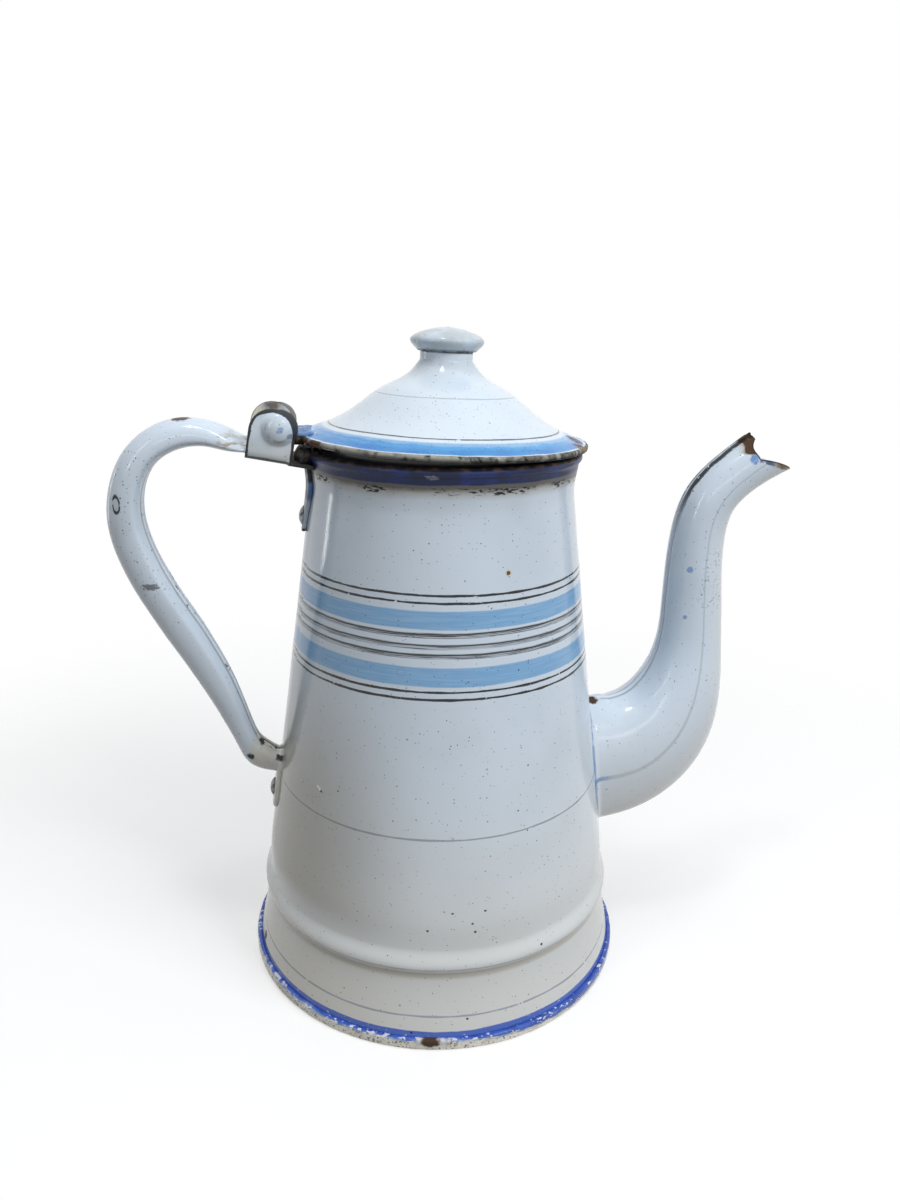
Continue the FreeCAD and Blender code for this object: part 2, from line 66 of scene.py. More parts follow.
# Lap seam down the wall, just off the handle on the near side
seam_turn = math.radians(192.0)
seam_step = 0.45
seam_width = 13.0
seam_lip = 0.25
seam_foot_fade = 15.0
seam_top_gap = 4.0
seam_top_fade = 8.0
seam_fine_degrees = (-0.5, -0.25, -0.1, 0.0, 0.1, 0.25)

# How uneven each surface is, as size and height of its bumps, and a dent in the wall
body_swell = (28.0, 0.16)
body_ripple = (11.0, 0.04)
pan_nicks = (3.5, 0.25)
pan_waves = (17.0, 0.2)
spout_swell = (14.0, 0.12)
handle_swell = (16.0, 0.2)
lid_swell = (18.0, 0.1)
lid_nicks = (4.0, 0.3)
dent_place = Vector((16.7, -43.3, 174.7))
dent_radius = 5.0
dent_depth = 0.5

# Strainer holes behind the spout
strainer_height = 68.0
strainer_radius = 2.5
strainer_pitch = 9.0
strainer_ring_count = 6
strainer_rod_length = 20.0
strainer_facet_count = 28

# Bottom pan
pan_sheet = 1.2
pan_rim_radius = 71.0
pan_rim_height = 4.0
pan_rim_round = 0.8
pan_ring_inner = 65.5
pan_floor_lift = 1.8
pan_floor_slope = 2.5

# Spout stations: x, z, height across the bend, width
spout_sheet = 1.4
spout_stations = [
    (57.05, 68.0, 52.0, 36.0),
    (75.05, 71.0, 50.0, 36.0),
    (89.05, 82.0, 43.5, 35.0),
    (96.35, 98.0, 33.0, 31.0),
    (98.65, 115.0, 25.5, 25.0),
    (98.05, 135.0, 22.2, 22.2),
    (97.65, 155.0, 20.2, 20.4),
    (101.05, 171.5, 19.0, 19.6),
    (110.65, 182.1, 18.3, 19.6),
    (128.45, 193.5, 20.8, 20.0),
]
spout_root_range = (0.0, 0.3)
spout_mouth_range = (0.7, 1.0)
spout_notch = (114.75, 188.1)
spout_upper_point = (114.25, 196.2)
spout_lower_point = (131.05, 183.4)
spout_mouth_way = Vector((0.85, 0.0, 0.53))
spout_waist = 1.5
spout_waist_shares = (0.1, 0.85)
spout_lip_bow = 1.0
spout_lip_turn = math.radians(80)
spout_blunt = 0.4
spout_root_fillet = 2.2
seam_half_gap = 0.04
seam_ridge_height = 0.5
seam_ridge_step = 0.24
seam_ridge_shares = (1.0, 1.0, 0.75, 0.2)

# Lid, drawn upright and then tilted about the middle of its rim
lid_sheet = 0.7
lid_tilt = math.radians(1.35)
lid_rim_radius = 49.7
lid_rim_bottom = 193.8
lid_rim_top = 195.9
lid_rim_round = 0.9
lid_fold_end = 46.5
shoulder_foot = (48.4, 195.9)
shoulder_top = (40.0, 199.2)
dome_points = [(31.8, 204.0), (20.8, 212.0), (12.6, 216.6)]
lid_neck_foot = (8.9, 221.0)
lid_neck_top = (8.9, 224.0)
collar_radius = 43.0
collar_bottom = 186.0
knob_sheet = 1.2
knob_points = [(9.8, 224.0), (12.5, 227.3), (7.0, 230.7), (0.0, 231.9)]

# Handle stations: x, z, depth across the bend, width
handle_sheet = 1.3
handle_stations = [
    (-57.5, 191.5, 2.6, 22.0),
    (-66.5, 193.3, 4.0, 25.5),
    (-71.5, 194.6, 6.8, 21.0),
    (-77.5, 196.5, 8.4, 16.0),
    (-86.5, 197.2, 9.8, 14.5),
    (-100.4, 189.7, 10.4, 14.5),
    (-106.7, 171.0, 12.0, 14.5),
    (-98.6, 143.5, 13.2, 14.5),
    (-82.15, 113.0, 12.0, 13.5),
    (-72.75, 90.0, 8.9, 12.5),
    (-70.15, 83.9, 9.0, 12.2),
    (-67.15, 79.9, 10.4, 11.6),
    (-59.95, 76.4, 8.8, 11.4),
    (-54.95, 75.2, 8.6, 11.4),
]
handle_foot_range = (0.85, 1.0)
handle_back_share = 0.7
handle_wall_share = 0.96
handle_slot = 2.2
handle_slot_share = 0.9
handle_root_fillet = 1.0

# Tab below the handle's foot, its rings as shares of its outline and of the sheet's thickness
foot_tab_half_width = 6.0
foot_tab_top = 79.0
foot_tab_end = 63.0
foot_tab_rings = [(0.3, 1.0), (0.6, 1.0), (0.84, 1.0), (0.92, 0.88), (0.97, 0.6), (1.0, 0.2)]
foot_tab_back_shares = (1.0, 0.6, 0.3)

# Hinge bracket, whose cheeks are drawn about the pin and tilted
pin_place = (-55.573, 199.861)
bracket_tilt = math.radians(10.0)
bracket_drop = 11.3
cheek_radius = 7.5
cheek_centre = (-2.0, -1.6)
cheek_inside = 12.5

# Enamel that has run between the bracket's strap and the mouth, and the leaf's lip over the lid's rim: black
# pieces that fill the shaded gap beside the cheek as painted shade
run_half_turn = math.radians(15.5)
run_top = 193.6
run_foot = 188.9
run_reach = 3.2
run_sink = 1.0
run_root = 0.8
lip_half_turn = math.radians(12.5)
lip_corners = [(49.0, 194.4), (52.6, 194.5), (53.2, 197.0), (49.0, 197.4)]
leaf_sunk_length = 4.0
leaf_sunk_depth = 1.5

# How far a piece's root is sunk in the wall that carries it
sink = 0.4

# How finely the meshes are divided, and the cell size and rounds that soften each copied solid
body_turn_count = 320
rim_turn_count = 480
collar_turn_count = 192
knob_turn_count = 128
dome_count = 60
knob_count = 40
spout_half_count = 49
spout_row_count = 160
spout_lip_count = 4
handle_half_count = 64
handle_row_count = 240
arc_count = 25
bracket_softness = (0.35, 4)
rivet_softness = (0.25, 4)
leaf_softness = (0.3, 3)

# Camera, found from the painted rings of the photograph
camera_place = (-54.39, -308.46, 235.69)
camera_pan = math.radians(10.0) + 0.0113
camera_tilt = 0.3071
camera_roll = 0.0212
camera_lens = 27.0
camera_sensor = 36.0
camera_near = 0.01

# Painted rings, heights on the body and radii on the lid
blue_bands = [(142.5, 148.3), (124.4, 130.5)]
brush_lines = [140.7, 137.2, 134.0]
black_lines = [153.2, 150.8, 122.6, 120.2]
pale_line = 73.7
groove_line = 28.5
skirt_line = 11.0
mouth_band = 186.9
foot_edge = 6.0
lid_upper_line = 23.7
lid_lower_line = 39.4
lid_band = (41.2, 48.0)
streak_radius = 55.0
tab_line = (6.0, 7.4)
tab_tip = 164.6

# Heights on the body between which stains, a darker band, scuffs and bare patches set in; the groove's band
# is dirt and painted shade
mouth_stain = (181.6, 184.6)
mouth_dark_band = (183.8, 186.0)
mouth_scuffs = (183.6, 185.8)
mouth_bare = (190.8, 191.5)
groove_dirt_and_shade = (24.4, 26.8)

# Places of single marks
body_holes = [
    (-5.2, -62.9, 48.4), (5.8, -62.9, 48.4), (1.4, -63.7, 44.4), (2.4, -64.1, 41.3), (-13.4, -62.5, 42.3),
    (11.9, -64.4, 34.6), (22.9, -61.4, 34.1), (31.9, -57.7, 32.6), (26.6, -60.6, 30.7), (-0.2, -67.9, 9.8),
    (-45.9, -36.5, 82.0),
]
navy_chip = (-11.0, -46.2, 189.3)
brown_speck = (13.2, -46.6, 159.3)
ring_mark = (-20.6, -48.2, 128.6)
white_scrape = [(-46.9, -35.1, 83.1), (-46.4, -35.8, 82.6)]
foot_spot = (-67.5, -11.3, 7.6)
foot_chip = (-13.0, -69.6, 3.2)
spout_root_chip = (60.2, -2.2, 94.0)
spout_daubs = [((92.0, -9.0, 147.4), 1.2), ((91.8, -9.3, 129.1), 0.8)]
spout_ink = (112.6, -9.2, 188.0)
spout_scuff = (101.0, -9.0, 143.0)
handle_top_chip = (-87.1, -1.5, 201.9)
handle_ring = (-108.6, -6.3, 174.6)
handle_scrape = (-100.0, -7.0, 146.6)
handle_stain = (-68.7, -9.5, 195.2)
handle_foot_chips = [(-65.9, -2.6, 85.3), (-59.6, -6.0, 79.7), (-70.0, -4.6, 80.5)]
cheek_stain = (-57.7, 12.5, 205.1)
corner_side = [(-66.0, 198.0), (-54.0, 188.0)]
crease_side = [(-60.0, 203.0), (-50.0, 196.0)]
cheek_daubs = [(-55.0, -17.0, 200.2), (-55.6, -17.0, 199.2)]
cheek_patch = (-52.0, -15.6, 197.6)
lid_flecks = [(-45.0, -10.0, 196.9), (-45.2, -3.0, 197.2)]
lid_notch = [(42.2, -15.7, 197.3), (42.2, -24.7, 195.8)]
lid_hinge_rust = [(-47.0, -13.0, 196.0), (-44.0, -21.0, 196.0)]

# Glaze where whole: its roughness and how far that varies, its shine and the height of its fine bumps
plain_gloss = 0.14
gloss_range = 0.16
plain_shine = 0.5
peel_height = 0.02

# Glaze where worn: its depth, grit, shine and roughness, and how metallic the bare pin is
worn_depth = -0.12
worn_grit = 0.1
worn_shine = 0.12
worn_roughness = 0.62
pin_metal = 0.8

# Floor and backdrop, in metres but for the radii where the floor fades
floor_radius = 1.6
floor_facet_count = 64
floor_fade = (130.0, 430.0)
floor_colour = (0.62, 0.62, 0.62, 1)
floor_glow = 0.42
floor_bounce = (0.27, 0.24, 0.20, 1)
plain_white = (1, 1, 1, 1)
ambient_colour = (0.95, 0.975, 1.0, 1)
ambient_strength = 0.13

# Lights, in metres: name, place, height aimed at, size, power, colour, and if they show in reflections
cool_light = (0.96, 0.98, 1.0)
pale_light = (0.97, 0.99, 1.0)
lights = [
    ("key", (0.75, -0.75, 0.80), 0.1, (0.6, 0.6), 8.2, cool_light, False),
    ("top", (-0.05, -0.05, 1.25), 0.1, (0.9, 0.9), 5.4, cool_light, False),
    ("front", (-0.1, -1.45, 0.85), 0.08, (1.7, 0.16), 2.4, pale_light, True),
    ("back", (-0.2, 1.2, 0.85), 0.1, (1.2, 0.6), 3.0, pale_light, False),
]

# Small lights for glints: place, size and power
glint_aim = 0.12
glint_light = (1.0, 1.0, 1.0)
glints = [
    ((0.55, -0.85, 0.83), (0.24, 0.03), 0.5),
    ((0.55, -0.85, 0.95), (0.24, 0.03), 0.5),
    ((0.55, -0.85, 1.07), (0.24, 0.03), 0.5),
    ((-0.75, -0.5, 0.55), (0.05, 0.5), 0.7),
    ((-0.15, -0.2, 1.1), (0.12, 0.12), 0.9),
    ((-0.85, 0.42, 0.16), (0.03, 0.4), 0.4),
]


# Curves

def hermite(start, start_way, end, end_way, count):
    """Points of a smooth curve between two points, without its first point."""
    chord = math.dist(start, end)
    ways = [Vector(way).normalized() * chord for way in (start_way, end_way)]
    points = []
    for number in range(1, count + 1):
        t = number / count
        point = (2 * t ** 3 - 3 * t ** 2 + 1) * Vector(start) + (t ** 3 - 2 * t ** 2 + t) * ways[0]
        point += (3 * t ** 2 - 2 * t ** 3) * Vector(end) + (t ** 3 - t ** 2) * ways[1]
        points.append(tuple(point))
    return points


def straight(start, end, count):
    """Points of a line between two points, without its first point."""
    step = (Vector(end) - Vector(start)) / count
    return [tuple(Vector(start) + step * number) for number in range(1, count + 1)]


def run_on(points, *legs):
    """Carry a line of points on over straight legs, each given as its end and its count of points."""
    for end, count in legs:
        points += straight(points[-1], end, count)


def round_corner(centre, radius, start_turn, end_turn, count):
    """Points of an arc, angles in degrees."""
    points = []
    for number in range(count + 1):
        turn = math.radians(start_turn + (end_turn - start_turn) * number / count)
        points.append((centre[0] + radius * math.cos(turn), centre[1] + radius * math.sin(turn)))
    return points


def natural_spline(stations):
    """Function of 0 to 1 that passes smoothly through rows of numbers, spaced by their first two."""
    values = numpy.array(stations, dtype=float)
    steps = numpy.hypot(*numpy.diff(values[:, :2], axis=0).T)
    knots = numpy.concatenate(([0], numpy.cumsum(steps))) / steps.sum()
    gaps = numpy.diff(knots)
    count = len(knots)
    matrix = numpy.eye(count)
    right = numpy.zeros_like(values)
    for i in range(1, count - 1):
        matrix[i, i - 1:i + 2] = gaps[i - 1], 2 * (gaps[i - 1] + gaps[i]), gaps[i]
        slopes = (values[i] - values[i - 1]) / gaps[i - 1], (values[i + 1] - values[i]) / gaps[i]
        right[i] = 6 * (slopes[1] - slopes[0])
    bends = numpy.linalg.solve(matrix, right)

    def value(t):
        i = int(numpy.clip(numpy.searchsorted(knots, t) - 1, 0, count - 2))
        gap = gaps[i]
        before = t - knots[i]
        after = knots[i + 1] - t
        return (
            (bends[i] * after ** 3 + bends[i + 1] * before ** 3) / (6 * gap)
            + (values[i] / gap - bends[i] * gap / 6) * after
            + (values[i + 1] / gap - bends[i + 1] * gap / 6) * before
        )

    return value


def even_turns(count):
    return [2 * math.pi * number / count for number in range(count)]


def at_turn(radius, turn, height):
    """Point at a turn round Z."""
    return radius * math.cos(turn), radius * math.sin(turn), height


def limited(value):
    return min(1.0, max(0.0, value))


# Meshes

def add_object(name, data):
    thing = bpy.data.objects.new(name, data)
    bpy.context.scene.collection.objects.link(thing)
    return thing


def write_back(work, mesh):
    """Write a mesh that was worked on back to its data."""
    work.to_mesh(mesh)
    work.free()
    return mesh


def store(mesh, numbers):
    """Keep numbers on a mesh's points, under their names."""
    for key, values in numbers.items():
        mesh.attributes.new(key, "FLOAT", "POINT").data.foreach_set("value", values)


def make_object(name, vertices, faces, numbers):
    """Object from millimetre points, smooth shaded, with numbers stored on its points."""
    mesh = bpy.data.meshes.new(name)
    mesh.from_pydata([Vector(vertex) * MM for vertex in vertices], [], faces)
    store(mesh, numbers)
    work = bmesh.new()
    work.from_mesh(mesh)
    bmesh.ops.recalc_face_normals(work, faces=work.faces)
    write_back(work, mesh).shade_smooth()
    return add_object(name, mesh)


def apply_modifiers(piece):
    """Make what a piece's modifiers do part of its mesh."""
    evaluated = piece.evaluated_get(bpy.context.evaluated_depsgraph_get())
    mesh = bpy.data.meshes.new_from_object(evaluated)
    piece.modifiers.clear()
    piece.data = mesh


def grid_faces(rows, columns, close_rows=False):
    """Quads of a grid of points stored row by row, each row a ring."""
    faces = []
    for i in range(rows if close_rows else rows - 1):
        for j in range(columns):
            i2 = (i + 1) % rows
            j2 = (j + 1) % columns
            faces.append((i * columns + j, i * columns + j2, i2 * columns + j2, i2 * columns + j))
    return faces


def fan_faces(tip, start, columns):
    """Triangles from a ring of points to a tip."""
    return [(tip, start + j, start + (j + 1) % columns) for j in range(columns)]


def turned(name, profile, turns, shape=None, inside=()):
    """Object turned round Z. A profile that starts or ends on the axis gets poles, others close up.

    The profile's points whose numbers are in inside are marked as the piece's inner side.
    """
    columns = len(turns)
    vertices = []
    marks = []
    for number, (radius, height) in enumerate(profile):
        if radius == 0:
            continue
        for turn in turns:
            r, z = shape(radius, height, turn) if shape else (radius, height)
            vertices.append(at_turn(r, turn, z))
            marks.append(1.0 if number in inside else 0.0)
    rows = len(vertices) // columns
    ends = [(profile[0], 0), (profile[-1], (rows - 1) * columns)]
    poles = [(point, start) for point, start in ends if point[0] == 0]
    faces = grid_faces(rows, columns, not poles)
    for point, start in poles:
        faces += fan_faces(len(vertices), start, columns)
        vertices.append((0, 0, point[1]))
        marks.append(marks[start])
    return make_object(name, vertices, faces, {"inside": marks})


def skin_radius(height):
    """Radius of the body's cone at a height."""
    return cone_foot[0] - cone_taper * (height - cone_foot[1])


def outside_body(point):
    """Distance of a point outside the body's cone, along the radius."""
    return math.hypot(point[0], point[1]) - skin_radius(point[2])


def soft_bumps(point, size, height):
    """Slow unevenness of hand-worked sheet, at a millimetre point."""
    return height * noise.noise(Vector(point) / size)


# Body

def body_profile():
    """Closed outline: up the outside, over the curl and down the inside, and the inside's numbers."""
    cone_way = (-cone_taper, 1)
    cone_start = (skin_radius(swelling_end), swelling_end)
    neck_top = (curl_centre[0] + body_sheet / 2, curl_centre[1] - neck_join_share * curl_radius)
    outer = [skirt_foot]
    outer += straight(skirt_foot, skirt, 3)
    outer += hermite(skirt, (-skirt_slope, 1), groove, groove_way_in, 22)
    outer += hermite(groove, groove_way_out, bead, (0, 1), 10)
    outer += hermite(bead, (0, 1), bead_crease, crease_way, 16)
    outer += hermite(bead_crease, crease_way, body_swelling, cone_way, 10)
    outer += hermite(body_swelling, cone_way, cone_start, cone_way, 12)
    outer += straight(cone_start, neck_foot, 92)
    outer += hermite(neck_foot, cone_way, neck_top, (cone_taper, 1), 14)
    curl = round_corner(curl_centre, curl_radius, *curl_turns, 22)
    inner = [(radius - body_sheet, height) for radius, height in reversed(outer)]
    start = len(outer) + 2 * len(curl) // 3
    return outer + curl + inner, range(start, len(outer) + len(curl) + len(inner))


def body_shape(radius, height, turn):
    """The body's small unevenness and the step of its lap seam, which fades out at both ends."""
    point = at_turn(radius, turn, height)
    uneven = soft_bumps(point, *body_swell) + soft_bumps(point, *body_ripple)
    uneven -= dent_depth * math.exp(-((Vector(point) - dent_place).length / dent_radius) ** 2)
    past = (seam_turn - turn) * radius
    step = 0.0
    if 0 <= past < seam_width:
        step = -seam_step * (1 - past / seam_width) ** 2 * limited(past / seam_lip)
    above = limited((height - cone_foot[1]) / seam_foot_fade)
    below = limited((curl_centre[1] - seam_top_gap - height) / seam_top_fade)
    return radius + uneven + step * above * below, height


def strainer_tool():
    """Rods that drill the strainer holes behind the spout."""
    work = bmesh.new()
    radius = strainer_radius * MM
    centres = [(0.0, strainer_height)]
    for turn in even_turns(strainer_ring_count):
        centres.append((strainer_pitch * math.sin(turn), strainer_height + strainer_pitch * math.cos(turn)))
    for y, z in centres:
        middle = Vector((skin_radius(strainer_height), y, z)) * MM
        bmesh.ops.create_cone(
            work,
            cap_ends=True,
            segments=strainer_facet_count,
            radius1=radius,
            radius2=radius,
            depth=strainer_rod_length * MM,
            matrix=Matrix.Translation(middle) @ Matrix.Rotation(math.pi / 2, 4, "Y"),
        )
    return add_object("strainer_tool", write_back(work, bpy.data.meshes.new("strainer_tool")))


def drill(piece, tool):
    """Cut a tool out of a piece for good, and throw the tool away."""
    cut = piece.modifiers.new("cut", "BOOLEAN")
    cut.object = tool
    cut.solver = "EXACT"
    apply_modifiers(piece)
    bpy.data.objects.remove(tool)


seam_turns = [seam_turn + math.radians(step) for step in seam_fine_degrees]
body_turns = sorted(even_turns(body_turn_count) + seam_turns)
outline, inner_numbers = body_profile()
body = turned("pot_body", outline, body_turns, body_shape, inner_numbers)
drill(body, strainer_tool())
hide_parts("body_shell")


# Bottom pan

def pan_profile():
    """Outline from the axis out below, round the folded rim, and back to the axis above."""
    slope_foot = pan_ring_inner - pan_floor_slope
    inner_top = skirt_foot[0] - skirt_slope * (pan_rim_height - pan_sheet)
    low = (pan_rim_radius - pan_rim_round, pan_rim_round)
    top = (pan_rim_radius - pan_rim_round, pan_rim_height - pan_rim_round)
    points = [(0, pan_floor_lift)]
    run_on(points, ((slope_foot, pan_floor_lift), 16), ((pan_ring_inner, 0), 4), ((low[0], 0), 5))
    points += round_corner(low, pan_rim_round, -70, 0, 5)
    run_on(points, ((pan_rim_radius, top[1]), 5))
    points += round_corner(top, pan_rim_round, 15, 90, 5)
    run_on(
        points,
        ((inner_top, pan_rim_height), 2),
        ((skirt_foot[0], pan_sheet), 4),
        ((pan_ring_inner + pan_sheet / 2, pan_sheet), 4),
        ((slope_foot + pan_sheet / 2, pan_floor_lift + pan_sheet), 4),
        ((0, pan_floor_lift + pan_sheet), 16),
    )
    return points


def pan_shape(radius, height, turn):
    """Wear along the rim, cut only inwards so that the rim keeps its size."""
    if radius < pan_rim_radius - 2 * pan_rim_round:
        return radius, height
    point = at_turn(radius, turn, height)
    return radius - abs(soft_bumps(point, *pan_nicks)) - abs(soft_bumps(point, *pan_waves)), height


pan = turned("bottom_rim", pan_profile(), even_turns(rim_turn_count), pan_shape)
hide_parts("bottom_pan")


# Tubes along stations

def tube_rows(path, section, key_count, row_count, start_of, end_of):
    """Rings of points along a path in the XZ plane, each section point from its own start to its own end."""
    small = 1e-4
    gather = 0.7

    def place(t, key):
        row = path(t)
        way = path(t + small)[:2] - path(t - small)[:2]
        way = way / numpy.hypot(*way)
        out, side = section(row, key)
        return Vector((row[0] + way[1] * out, side, row[1] - way[0] * out))

    keys = range(key_count)
    starts = [start_of(lambda t, key=key: place(t, key)) for key in keys]
    ends = [end_of(lambda t, key=key: place(t, key)) for key in keys]
    rows = []
    for number in range(row_count):
        share = number / (row_count - 1)
        s = share - gather * math.sin(2 * math.pi * share) / (2 * math.pi)
        early = (1 - s) ** 4
        late = s ** 4
        rows.append([place(s + starts[key] * early + (ends[key] - 1) * late, key) for key in keys])
    return rows


def crossing(place, inside, low, high):
    """Place on a path between low and high where inside turns from true to false."""
    halvings = 40
    for _ in range(halvings):
        middle = (low + high) / 2
        if inside(place(middle)):
            low = middle
        else:
            high = middle
    return (low + high) / 2


def root_flare(rows, fillet):
    """The same rows, with their outer skin swept out where they meet the body's wall."""
    flared = []
    for row in rows:
        centre = sum(row, Vector()) / len(row)
        points = []
        for key, point in enumerate(row):
            push = fillet * max(0.0, 1 - outside_body(point) / fillet) ** 2
            outer = key < len(row) // 2
            points.append(point + (point - centre).normalized() * push if outer else point)
        flared.append(points)
    return flared


def lip_rows(rows, count):
    """Rows past the last that turn the wall's outer and inner skins over to each other."""
    rows_back = 5
    last = rows[-1]
    before = rows[-rows_back]
    lip = []
    for number in range(1, count + 1):
        turn = spout_lip_turn * number / count
        row = []
        for key, point in enumerate(last):
            partner = last[-1 - key]
            middle = (point + partner) / 2
            half = (point - partner).length / 2
            way = (point - before[key]).normalized()
            row.append(middle + (point - middle) * math.cos(turn) + way * (half * math.sin(turn)))
        lip.append(row)
    return lip


def cap_faces(first, columns):
    """Quads that close a ring between its outer half and its inner half."""
    last = first + columns - 1
    return [(first + k, first + k + 1, last - k - 1, last - k) for k in range(columns // 2 - 1)]


def tube_object(name, rows, swell):
    """Closed tube from its rows, with places along and around it stored on its points."""
    columns = len(rows[0])
    vertices = []
    along = []
    around = []
    for i, row in enumerate(rows):
        for j, point in enumerate(row):
            uneven = soft_bumps(point, *swell)
            vertices.append(point + Vector((uneven, 0, uneven)))
            along.append(i / (len(rows) - 1))
            around.append(j / (columns // 2 - 1))
    faces = grid_faces(len(rows), columns)
    faces += cap_faces(0, columns) + cap_faces((len(rows) - 1) * columns, columns)
    return make_object(name, vertices, faces, {"along": along, "around": around})


# Spout

def spout_section(side):
    """Section of one half: its outer skin from upper seam to lower seam, then its inner skin back."""
    middle = (spout_half_count - 1) // 2
    ridge_count = len(seam_ridge_shares)

    def section(row, key):
        half_height = row[2] / 2
        half_width = row[3] / 2
        outer = key < spout_half_count
        number = key if outer else 2 * spout_half_count - 1 - key
        near_end = min(number, spout_half_count - 1 - number)
        ridge_turn = seam_ridge_step * min(near_end, ridge_count) / half_width
        share = max(0, near_end - ridge_count) / (middle - ridge_count)
        turn = ridge_turn + (math.pi / 2 - ridge_turn) * share
        if outer and near_end < ridge_count:
            half_height += seam_ridge_height * seam_ridge_shares[near_end]
        if not outer:
            half_height -= spout_sheet
            half_width -= spout_sheet
        way = 1 if number <= middle else -1
        return -way * half_height * math.cos(turn), side * max(seam_half_gap, half_width * math.sin(turn))

    return section


def past_mouth(point):
    """True where a point of the spout, with its lip before it, is cut away by the fish mouth."""
    lip_end = point + spout_mouth_way * (spout_sheet / 2)
    rise = limited((lip_end[2] - spout_notch[1]) / (spout_upper_point[1] - spout_notch[1]))
    edge = spout_notch[0] + (spout_upper_point[0] - spout_notch[0]) * rise
    low, high = spout_waist_shares
    edge -= spout_waist * math.sin(math.pi * limited((rise - low) / (high - low)))
    reach = limited((lip_end[0] - spout_notch[0]) / (spout_lower_point[0] - spout_notch[0]))
    lip = spout_notch[1] + (spout_lower_point[1] - spout_notch[1]) * reach
    lip += spout_lip_bow * 4 * reach * (1 - reach)
    blunt = lip_end[0] > spout_lower_point[0] - spout_blunt
    return blunt or (lip_end[0] > edge and lip_end[2] > lip)


def make_spout_half(name, side):
    rows = tube_rows(
        natural_spline(spout_stations),
        spout_section(side),
        2 * spout_half_count,
        spout_row_count,
        lambda place: crossing(place, lambda point: outside_body(point) < -sink, *spout_root_range),
        lambda place: crossing(place, lambda point: not past_mouth(point), *spout_mouth_range),
    )
    rows = root_flare(rows, spout_root_fillet)
    return tube_object(name, rows + lip_rows(rows, spout_lip_count), spout_swell)


spout_halves = []
for node, side in (("spout_left", 1), ("spout_right", -1)):
    half = make_spout_half("pot_" + node, side)
    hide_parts(node)
    spout_halves.append(half)


# Handle

def handle_section(row, key):
    """Section of a strip rolled to a tube, its seam open towards the pot: outer skin, then inner skin."""
    back = row[2] * handle_back_share
    front = row[2] - back
    middle = (front - back) / 2
    half_width = row[3] / 2
    number = key
    if key >= handle_half_count:
        number = 2 * handle_half_count - 1 - key
        wall = min(handle_sheet, handle_wall_share * front, handle_wall_share * back)
        back -= wall
        front -= wall
        half_width -= wall
    edge = math.asin(min(handle_slot_share, handle_slot / 2 / half_width))
    turn = edge + (2 * math.pi - 2 * edge) * number / (handle_half_count - 1)
    depth = -front if math.cos(turn) > 0 else -back
    return middle + depth * math.cos(turn), half_width * math.sin(turn)


def foot_tab():
    """Points and faces of the tab below the handle's foot: a soft-edged pad with a round lower end."""
    wide = foot_tab_half_width
    outline = [(-wide, foot_tab_top), (0.0, foot_tab_top), (wide, foot_tab_top)]
    run_on(outline, ((wide, foot_tab_end), 8))
    for degrees in range(10, 180, 10):
        turn = math.radians(degrees)
        outline.append((wide * math.cos(turn), foot_tab_end - wide * math.sin(turn)))
    outline += straight((-wide, foot_tab_end), outline[0], 8)[:-1]
    columns = len(outline)
    centre = (foot_tab_top + foot_tab_end) / 2
    rings = foot_tab_rings + [(share, -sink) for share in foot_tab_back_shares]
    vertices = []
    for share, lift in rings:
        for y, z in outline:
            height = centre + (z - centre) * share
            radius = skin_radius(height) + lift * handle_sheet
            vertices.append((-math.sqrt(radius ** 2 - (y * share) ** 2), y * share, height))
    faces = grid_faces(len(rings), columns)
    for lift, start in ((rings[0][1], 0), (rings[-1][1], (len(rings) - 1) * columns)):
        faces += fan_faces(len(vertices), start, columns)
        vertices.append((-skin_radius(centre) - lift * handle_sheet, 0, centre))
    return vertices, faces


def joined(name, piece, other):
    """One object of two, the other's mesh added to the piece's."""
    work = bmesh.new()
    work.from_mesh(piece.data)
    work.from_mesh(other.data)
    write_back(work, piece.data).shade_smooth()
    bpy.data.objects.remove(other)
    piece.name = name
    return piece


def make_handle():
    rows = tube_rows(
        natural_spline(handle_stations),
        handle_section,
        2 * handle_half_count,
        handle_row_count,
        lambda place: 0.0,
        lambda place: crossing(place, lambda point: outside_body(point) > -sink, *handle_foot_range),
    )
    tube = tube_object("handle_tube", root_flare(rows, handle_root_fillet), handle_swell)
    vertices, faces = foot_tab()
    numbers = {"along": [1.0] * len(vertices), "around": [0.5] * len(vertices)}
    return joined("pot_handle", tube, make_object("handle_tab", vertices, faces, numbers))


handle = make_handle()
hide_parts("handle")


# Small pieces with soft enamel edges, from the CAD solids

def soft_copy(node, voxel, rounds):
    """A copy of a CAD node with its edges rounded as enamel rounds them."""
    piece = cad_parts[node].copy()
    piece.data = piece.data.copy()
    piece.parent = None
    piece.matrix_world = Matrix.Identity(4)
    piece.name = "pot_" + node
    piece.data.name = piece.name
    bpy.context.scene.collection.objects.link(piece)
    remesh = piece.modifiers.new("remesh", "REMESH")
    remesh.mode = "VOXEL"
    remesh.voxel_size = voxel * MM
    piece.modifiers.new("smooth", "SMOOTH").iterations = rounds
    apply_modifiers(piece)
    piece.data.materials.clear()
    piece.data.shade_smooth()
    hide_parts(node)
    return piece


def store_edges(piece):
    """Store each point's distance from the cheeks' cut edge, and its height over the bracket's base."""
    rims = []
    bases = []
    for vertex in piece.data.vertices:
        point = vertex.co / MM
        x = point.x - pin_place[0]
        z = point.z - pin_place[1]
        across = x * math.cos(bracket_tilt) - z * math.sin(bracket_tilt) - cheek_centre[0]
        up = x * math.sin(bracket_tilt) + z * math.cos(bracket_tilt) - cheek_centre[1]
        rims.append(cheek_radius - math.hypot(across, max(0.0, up)))
        bases.append(up + cheek_centre[1] + bracket_drop)
    store(piece.data, {"rim": rims, "base": bases})


